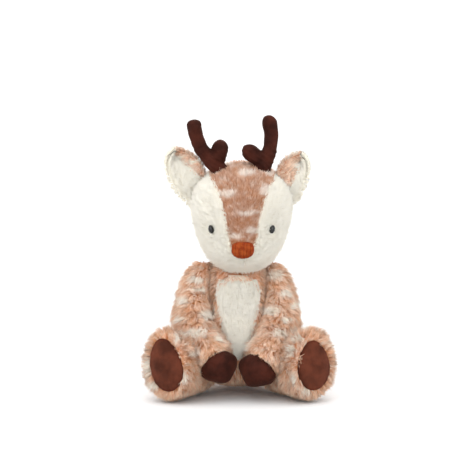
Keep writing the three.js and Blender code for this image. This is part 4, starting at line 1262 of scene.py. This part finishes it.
def sausage(points, radii, turn):
    """A skin round the smooth curve through points, whose radius follows the given ones and at both ends falls
    as a ball's does: by the root of q times two less q, q being the distance to the end over the end's radius."""
    share = eased(48)
    path, radius = along(points, share, True), along(radii, share)
    run = np.concatenate([[0], np.linalg.norm(np.diff(path, axis=0), axis=1).cumsum()])
    for distance, end in ((run, radii[0]), (run[-1] - run, radii[-1])):
        part = np.clip(distance / end, 0, 1)
        radius = radius * np.sqrt(part * (2 - part))
    return tube(round_rings(path, radius[:, None, None], np.array([0, 1.0, 0]), turn))


def antler_foot(name):
    """Where the antler's middle line leaves the head."""
    return joint_place(f"antler_{name}_bend") + [0, ANTLER["set_back"], 0]


def antler_skins(name, thinner=0.0):
    """A bowed beam and a blunt prong, the prong starting inside the beam's foot and pointing inwards and up."""
    side, pose, root = SIDES[name], ANTLER[name], antler_foot(name)
    lean, prong_lean, half = np.radians(pose["lean"]), np.radians(pose["prong_lean"]), ANTLER["thickness"] / 2
    ahead = np.array([side * np.sin(lean), 0, np.cos(lean)])
    out = np.array([side * np.cos(lean), 0, -np.sin(lean)])
    run = np.linspace(thinner - ANTLER["depth"], pose["length"] - thinner, 8)[:, None]
    bow = np.sin(np.pi * np.clip(run / pose["length"], -0.1, 1)) * ANTLER["curve"]
    inward = np.array([-side * np.sin(prong_lean), 0, np.cos(prong_lean)])
    start = root + UP * (pose["prong_up"] - half / 2)
    prong = start + inward * np.linspace(thinner, pose["prong_length"] - thinner, 6)[:, None]
    return [sausage(root + ahead * run + out * bow, half * np.array(ANTLER["beam"]) - thinner, turns(36)),
            sausage(prong, half * np.array(ANTLER["prong"]) - thinner, turns(36))]


def pucker(points, normals, root):
    """A groove where the front meets the back, a bell curve of the distance to the seam's plane; soft dents of
    the filling; and small folds at the crotch, a sine along the antler that noise bends."""
    sideways = step(0.5, 0.9, np.abs(normals[:, 0]) + np.abs(normals[:, 2]))
    groove = -0.45 * np.exp(-(((points[:, 1] - root[1]) / 0.9) ** 2)) * sideways
    dents = (noise(points, 6, 81) - 0.5) * 1.5 + (noise(points, (2.4, 2.4, 5), 83) - 0.5) * 0.3
    wave = np.sin(points[:, 2] * 1.1 + points[:, 0] * 0.8 + noise(points, 5, 85) * 5)
    return groove + dents + wave * 0.24 * (1 - step(10, 26, points[:, 2] - root[2]))


def make_antlers():
    """Each antler as one stuffed velour form, with a soft crotch and a groove along its seam."""
    for name in SIDES:
        piece = plain(f"antler_velour_{name}", antler_skins(name), "Velour")
        remeshed(piece, 0.75, 7)
        shifted(piece, lambda points, normals, root=antler_foot(name): pucker(points, normals, root))
        settle(piece, f"antler_{name}", f"antler_cover_{name}")


def clear_of_torso(points, side, gap):
    """Points pushed outwards to the torso's side plus a gap, where they lie within its depth."""
    centre, wide, deep = TORSO_FORM.ring(TORSO_FORM.share_at(points[..., 2]))
    ahead = (points[..., 1] - centre[..., 1]) / np.maximum(deep - 3, 1)
    side_x = np.minimum((wide - 3) * np.sqrt(np.clip(1 - ahead**2, 0, 1)), shoulder_limit(points))
    least = np.where(ahead**2 < 1, side_x + gap, 0)
    held = points.copy()
    held[..., 0] = side * np.where(least > 0, larger(side * points[..., 0], least, 4), side * points[..., 0])
    return held


def past_cuff(name, points):
    """How far points lie past the cuff's slanting plane, along the arm."""
    turn = np.array([[0, np.pi]])
    ring = ARM_FORMS[name].surface(CUFF - SIDES[name] * CUFF_SLANT * np.cos(turn), turn)[0]
    centre, ahead, _, over, _, _ = (part[0] for part in ARM_FORMS[name].ring(np.array([CUFF])))
    plane = unit(np.cross(over, ring[0] - ring[1]))
    return (points - centre) @ (plane * np.sign(plane @ ahead))


def arm_skin(name, inset, end):
    """The arm's form as far as a share of its run, drawn in towards its middle line by the inset, ended on a
    slant as the cuff is, and kept off the torso's side."""
    form, side, turn = ARM_FORMS[name], SIDES[name], turns(60)
    share = np.concatenate([eased(16, 0, 0.12), np.linspace(0.12, end, 44)[1:], [end + 0.004]])
    slant = -side * CUFF_SLANT * np.cos(turn)[None] * step(0.4, CUFF, share)[:, None]
    inset = inset - 1.4 * step(CUFF - 0.16, CUFF, share)
    rings = form.surface(share[:, None] + slant, turn)
    centre = form.ring(share)[0][:, None]
    radius = np.linalg.norm(rings - centre, axis=2).mean(1)
    grid = centre + (rings - centre) * np.maximum(1 - inset / np.maximum(radius, 5.5), 0.1)[:, None, None]
    grid[0] = grid[0].mean(0)
    grid[-1] = grid[-2].mean(0)
    points, triangles = tube(clear_of_torso(grid, side, 1.5))
    return above_floor(points), triangles


def make_arms():
    """Each sleeve: the arm down to its cuff, with fur combed down it, denser and shorter at the cuff."""
    for name, side in SIDES.items():
        backing = arm_skin(name, COAT_BACKING, CUFF)
        root, normal = sown(backing, "arm", 40 + side)
        beyond = past_cuff(name, root)
        keep = (beyond < 1.5) & ((beyond > -5) | (np.arange(len(root)) % 13 < 8))
        root, normal, beyond = root[keep], normal[keep], beyond[keep]
        press = pressed(root, [TORSO_FORM, LEG_FORMS[name]])
        press = np.maximum(press, step(-1, 3, HEAD_FORM.inside(root)))
        comb = along_skin(ARM_FORMS[name].ahead_at(root) + np.array([side * 0.35, -0.1, -0.35]), normal)
        share, lean = 1 - 0.45 * step(-8, 0, beyond), 50 + 18 * step(-14, 0, beyond)
        fur = coat_fur(root, normal, comb, share, lean, press, 42 + side, droop=0.08)
        coat_piece(f"arm_coat_{name}", backing, fur, f"arm_{name}", f"sleeve_{name}")


def seam_groove(wave):
    """A bell curve of a sine wave, 1 where it crosses zero."""
    return np.exp(-((wave / 0.05) ** 2))


def make_paws():
    """Each paw: the arm's form past its cuff, slimmer where it leaves the sleeve, with a seam down its edge."""
    turn = turns(64)
    share = np.concatenate([[CUFF - 0.06], np.linspace(CUFF - 0.055, 0.86, 18), eased(36, 0.72, 1.0)[18:]])
    seams = seam_groove(np.sin(turn / 2 + 0.3)) + seam_groove(np.cos(turn / 2 + 0.3))
    slim = (0.66 + 0.35 * step(CUFF - 0.05, CUFF + 0.1, share))[:, None] * (1 - 0.035 * seams)
    for name, side in SIDES.items():
        slant = -side * CUFF_SLANT * np.cos(turn)[None] * (1 - step(CUFF, 0.95, share))[:, None]
        rings = ARM_FORMS[name].surface(share[:, None] + slant, turn)
        centre = rings.mean(1, keepdims=True)
        grid = centre + (rings - centre) * slim[..., None]
        grid[0] = centre[0]
        skin = tube(grid)
        dents = (noise(skin[0], 8, 91) - 0.5) * 1.2 + (noise(skin[0], 3, 93) - 0.5) * 0.4
        points, triangles = moved_out(skin, dents)
        piece = plain(f"paw_velour_{name}", [(above_floor(points), triangles)], "Velour")
        settle(piece, f"arm_{name}", f"paw_{name}")


def sole_frame(name):
    """The sole's centre on the leg's end, with its directions across, up and ahead, rolled a little."""
    ahead = leg_ahead(name)
    across = np.array([-ahead[1], ahead[0], 0])
    roll = np.radians(SOLE["roll"][name])
    centre = joint_place(f"leg_{name}_spread") * [1, 1, 0] + ahead * LEG["length"] + UP * SOLE["up"][name]
    return centre, across * np.cos(roll) + UP * np.sin(roll), UP * np.cos(roll) - across * np.sin(roll), ahead


def on_sole(name, points):
    """Each point's share of the sole's egg-shaped oval: 1 on its edge."""
    centre, across, up, ahead = sole_frame(name)
    away = points - centre
    high = away @ up / (SOLE["height"][name] / 2)
    wide = SOLE["width"] / 2 * (1 - SOLE_TAPER * high)
    return np.hypot(away @ across / wide, high), away @ ahead


def leg_skin(name, inset):
    """The boot's form from the hip to the foot, moved in by the inset and pressed flat on the floor."""
    share = np.concatenate([eased(24, 0, 0.3), np.linspace(0.3, 0.8, 26)[1:-1], eased(28, 0.8, 1.0)])
    points, triangles = moved_out(tube(LEG_FORMS[name].surface(share, turns(68))), -inset)
    return above_floor(points), triangles


def make_legs():
    """Each leg, with fur combed towards the foot, where it stands up round the sole."""
    for name, side in SIDES.items():
        backing = leg_skin(name, COAT_BACKING)
        root, normal = sown(backing, "leg", 60 + side)
        oval, forward = on_sole(name, root)
        keep = (oval >= 0.97) | (forward <= -14)
        root, normal, forward = root[keep], normal[keep], forward[keep]
        centre, _, _, ahead = sole_frame(name)
        rim, face = step(0.05, 0.5, normal @ ahead), step(0.6, 0.95, normal @ ahead)
        outward = unit(root - centre - np.outer(forward, ahead))
        comb = ahead * (1 - face)[:, None] + outward * face[:, None] - 0.2 * UP * (1 - rim)[:, None]
        press = pressed(root, [TORSO_FORM, ARM_FORMS[name]])
        fur = coat_fur(root, normal, comb, 1 - 0.12 * rim, 46 - 26 * rim + 22 * face, press, 62 + side,
                       loose=0.4, droop=0.04)
        coat_piece(f"leg_coat_{name}", backing, fur, f"leg_{name}", f"leg_cover_{name}")


def make_soles():
    """Each sole: an egg-shaped velour pad, domed by the filling behind it and gathered a little at its seam."""
    ring = np.concatenate([np.linspace(0, 0.8, 20), np.linspace(0.8, 1, 12)[1:]])[:, None]
    turn = turns(96)[None]
    high = ring * np.sin(turn)
    wide = ring * np.cos(turn) * (1 - SOLE_TAPER * high)
    gather = 0.4 * np.sin(turn * 19 + 2 * np.sin(turn * 3)) * step(0.72, 1, ring)
    depth = 1.2 - 5.0 * ring**2.2 + gather - 0.9 * step(0.9, 1, ring)
    for name in SIDES:
        centre, across, up, ahead = sole_frame(name)
        flat = across * (wide * SOLE["width"])[..., None] + up * (high * SOLE["height"][name])[..., None]
        flat = flat * 0.52
        dents = (noise((centre + flat).reshape(-1, 3), 9, 97).reshape(depth.shape) - 0.5) * 1.8
        front = centre + flat + ahead * (depth + dents - 0.4)[..., None]
        behind = centre + flat * 0.97 + ahead * (-7.5 + 0 * depth)[..., None]
        piece = plain(f"sole_pad_{name}", [tube(np.concatenate([front, behind[::-1]]))], "Sole velour")
        settle(piece, f"leg_{name}", f"sole_{name}")


def tail_ahead():
    """The direction that the tail points in: back and a little up."""
    return np.array([0, np.cos(np.radians(TAIL["lift"])), np.sin(np.radians(TAIL["lift"]))])


def tail_skin(inset):
    """A short tapering limb that points back and a little up, moved in by the inset."""
    half = TAIL["thickness"] / 2
    share = np.arange(len(TAIL["shares"]))[:, None] / (len(TAIL["shares"]) - 1)
    points = joint_place("tail_wag") + tail_ahead() * (share * (TAIL["length"] + half) - half)
    form = Limb(points, half * 2, TAIL["shares"], half * 2, TAIL["shares"], (1, 0, 0))
    return moved_out(tube(form.surface(eased(34), turns(40))), -inset)


def make_tail():
    """The tail: long fur combed to its tip, where it hangs."""
    backing = tail_skin(TAIL_BACKING)
    root, normal = sown(backing, "tail", 80)
    end = step(0.2, 0.9, normal @ tail_ahead())
    comb = tail_ahead() * (1 - end)[:, None] - 0.6 * UP * end[:, None]
    press = pressed(root, [TORSO_FORM])
    fur = coat_fur(root, normal, comb, 0.95 - 0.25 * end, 40 - 10 * end, press, 81, loose=0.5)
    coat_piece("tail_coat", backing, fur, "tail", "tail_cover")


def make_fillings():
    """The fibre filling in each cover: the cover's own form drawn in under its backing and made uneven. The
    sack of pellets keeps its packed form, rounded and made uneven too."""
    inset = FILLING_INSETS
    forms = dict(
        torso=[torso_skin(inset["torso"])], head=[head_skin(inset["head"])], tail=[tail_skin(inset["tail"])])
    for name in SIDES:
        forms[f"arm_{name}"] = [arm_skin(name, inset["arm"], 0.93)]
        forms[f"leg_{name}"] = [leg_skin(name, inset["leg"])]
        forms[f"antler_{name}"] = antler_skins(name, inset["antler"])
    for body, skins in forms.items():
        part, under, side = body.partition("_")
        uneven = [moved_out(skin, -1.2 * noise(skin[0], 5, 99)) for skin in skins]
        piece = plain(f"{part}_filling{under}{side}", uneven, "Fibre filling")
        settle(piece, body, f"{part}_stuffing{under}{side}")
    sack = placed("pellet_sack", frame["nodes"]["pellet_pouch"].data.copy())
    sack.data.materials.clear()
    sack.data.materials.append(finish_of("Sack cloth"))
    remeshed(sack, 1.2, 6)
    shifted(sack, lambda points, normals: -2 * noise(points, 6, 99))
    settle(sack, "torso", "pellet_pouch")


def finish_washers():
    """The washers behind the eyes keep their packed form and get moulded plastic."""
    for name in SIDES:
        materials = frame["nodes"][f"eye_washer_{name}"].data.materials
        materials.clear()
        materials.append(finish_of("Washer plastic"))


def stage_material():
    """The floor: pale, taking the deer's soft shadow near it, and plain white further out."""
    material, tree, shader = node_tree("Pale floor")
    given(shader, Base_Color=(0.76, 0.76, 0.76, 1), Roughness=0.9, Specular_IOR_Level=0.0)
    mapping = added(tree, "ShaderNodeMapping", vector_type="TEXTURE")
    given(mapping, Vector=added(tree, "ShaderNodeTexCoord").outputs["Object"],
          Location=(0, -0.03, 0), Scale=(1.35, 1.0, 1.0))
    length = added(tree, "ShaderNodeVectorMath", operation="LENGTH")
    white = added(tree, "ShaderNodeEmission")
    given(white, Strength=1.2)
    mix = added(tree, "ShaderNodeMixShader")
    tree.links.new(mapping.outputs["Vector"], length.inputs[0])
    tree.links.new(ranged(tree, length.outputs["Value"], 0.1, 0.24, 0.0, 1.0), mix.inputs[0])
    tree.links.new(shader.outputs[0], mix.inputs[1])
    tree.links.new(white.outputs[0], mix.inputs[2])
    given(tree.nodes["Material Output"], Surface=mix.outputs[0])
    return material


def lamp(name, place, aim, size, power):
    """A square soft lamp at a place, turned towards the height that it aims at over the deer's middle."""
    data = bpy.data.lights.new(name, "AREA")
    data.shape, data.size, data.energy = "SQUARE", size, power
    holder = placed(name, data)
    holder.location = place
    holder.rotation_euler = (Vector((0, 0, aim)) - Vector(place)).to_track_quat("-Z", "Y").to_euler()


def make_stage():
    """A pale floor, a plain studio of soft light and a camera nine degrees above the deer's front."""
    scene = bpy.context.scene
    mesh = bpy.data.meshes.new("floor")
    mesh.from_pydata([(-6, -6, 0), (6, -6, 0), (6, 12, 0), (-6, 12, 0)], [], [(0, 1, 2, 3)])
    mesh.materials.append(stage_material())
    placed("floor", mesh)
    scene.world = bpy.data.worlds.new("Studio")
    scene.world.use_nodes = True
    given(scene.world.node_tree.nodes["Background"], Color=(1, 1, 1, 1), Strength=1.5)
    for name, values in LAMPS.items():
        lamp(name, *values)
    data = bpy.data.cameras.new("Camera")
    data.sensor_width, data.lens, data.clip_end = 36, CAMERA["lens"], 50
    camera = placed("Camera", data)
    away = CAMERA["distance"]
    camera.location = (0, -away * np.cos(LEAN_BACK), CAMERA["height"] + away * np.sin(LEAN_BACK))
    camera.rotation_euler = (np.pi / 2 - LEAN_BACK, 0, 0)
    scene.camera = camera
    scene.view_settings.view_transform = "Standard"


class DEER_OT_stage(bpy.types.Operator):
    """Add the floor, the soft lights and the camera"""

    bl_idname = "deer.stage"
    bl_label = "Stage"

    def execute(self, context):
        make_stage()
        return {"FINISHED"}


class DEER_OT_torso(bpy.types.Operator):
    """Add the torso's spotted coat and the cream belly"""

    bl_idname = "deer.torso"
    bl_label = "Torso and belly"

    def execute(self, context):
        make_torso()
        make_belly()
        return {"FINISHED"}


class DEER_OT_head(bpy.types.Operator):
    """Add the head's gusset and its two cream cheeks"""

    bl_idname = "deer.head"
    bl_label = "Head"

    def execute(self, context):
        make_gusset()
        make_faces()
        return {"FINISHED"}


class DEER_OT_trimmings(bpy.types.Operator):
    """Add the eyes, the stitched nose and the mouth's thread, and finish the washers"""

    bl_idname = "deer.trimmings"
    bl_label = "Eyes, nose and mouth"

    def execute(self, context):
        make_eyes()
        make_nose()
        finish_washers()
        return {"FINISHED"}


class DEER_OT_ears(bpy.types.Operator):
    """Add both ears, each with a spotted back and a cream lining"""

    bl_idname = "deer.ears"
    bl_label = "Ears"

    def execute(self, context):
        make_ears()
        return {"FINISHED"}


class DEER_OT_antlers(bpy.types.Operator):
    """Add both velour antlers"""

    bl_idname = "deer.antlers"
    bl_label = "Antlers"

    def execute(self, context):
        make_antlers()
        return {"FINISHED"}


class DEER_OT_arms(bpy.types.Operator):
    """Add both sleeves and their velour paws"""

    bl_idname = "deer.arms"
    bl_label = "Arms and paws"

    def execute(self, context):
        make_arms()
        make_paws()
        return {"FINISHED"}


class DEER_OT_legs(bpy.types.Operator):
    """Add both legs and their velour soles"""

    bl_idname = "deer.legs"
    bl_label = "Legs and soles"

    def execute(self, context):
        make_legs()
        make_soles()
        return {"FINISHED"}


class DEER_OT_tail(bpy.types.Operator):
    """Add the tail"""

    bl_idname = "deer.tail"
    bl_label = "Tail"

    def execute(self, context):
        make_tail()
        return {"FINISHED"}


class DEER_OT_fillings(bpy.types.Operator):
    """Add the fibre fillings and the sack of pellets inside the covers"""

    bl_idname = "deer.fillings"
    bl_label = "Fillings"

    def execute(self, context):
        make_fillings()
        return {"FINISHED"}


OPERATORS = (
    DEER_OT_stage, DEER_OT_torso, DEER_OT_head, DEER_OT_trimmings, DEER_OT_ears, DEER_OT_antlers, DEER_OT_arms,
    DEER_OT_legs, DEER_OT_tail, DEER_OT_fillings,
)


class DEER_PT_panel(bpy.types.Panel):
    """Lists the deer's pieces with the sizes and colours that they are made from"""

    bl_label = "Plush Deer"
    bl_idname = "DEER_PT_panel"
    bl_space_type = "VIEW_3D"
    bl_region_type = "UI"
    bl_category = "Plush Deer"

    def draw(self, context):
        for operator in OPERATORS:
            self.layout.operator(operator.bl_idname)
        for group in (context.scene.deer_pile, context.scene.deer_colours):
            for key in group.bl_rna.properties.keys():
                if key not in ("rna_type", "name"):
                    self.layout.prop(group, key)


CLASSES = (DeerPile, DeerColours, *OPERATORS, DEER_PT_panel)


def register():
    """Registers the classes and adds both groups of settings to the scene."""
    for item in CLASSES:
        bpy.utils.register_class(item)
    bpy.types.Scene.deer_pile = PointerProperty(type=DeerPile)
    bpy.types.Scene.deer_colours = PointerProperty(type=DeerColours)


def unregister():
    """Takes both groups of settings and the classes away again."""
    del bpy.types.Scene.deer_pile
    del bpy.types.Scene.deer_colours
    for item in reversed(CLASSES):
        bpy.utils.unregister_class(item)


def main():
    """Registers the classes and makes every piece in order."""
    register()
    for operator in OPERATORS:
        group, name = operator.bl_idname.split(".")
        getattr(getattr(bpy.ops, group), name)()


if __name__ == "__main__":
    main()
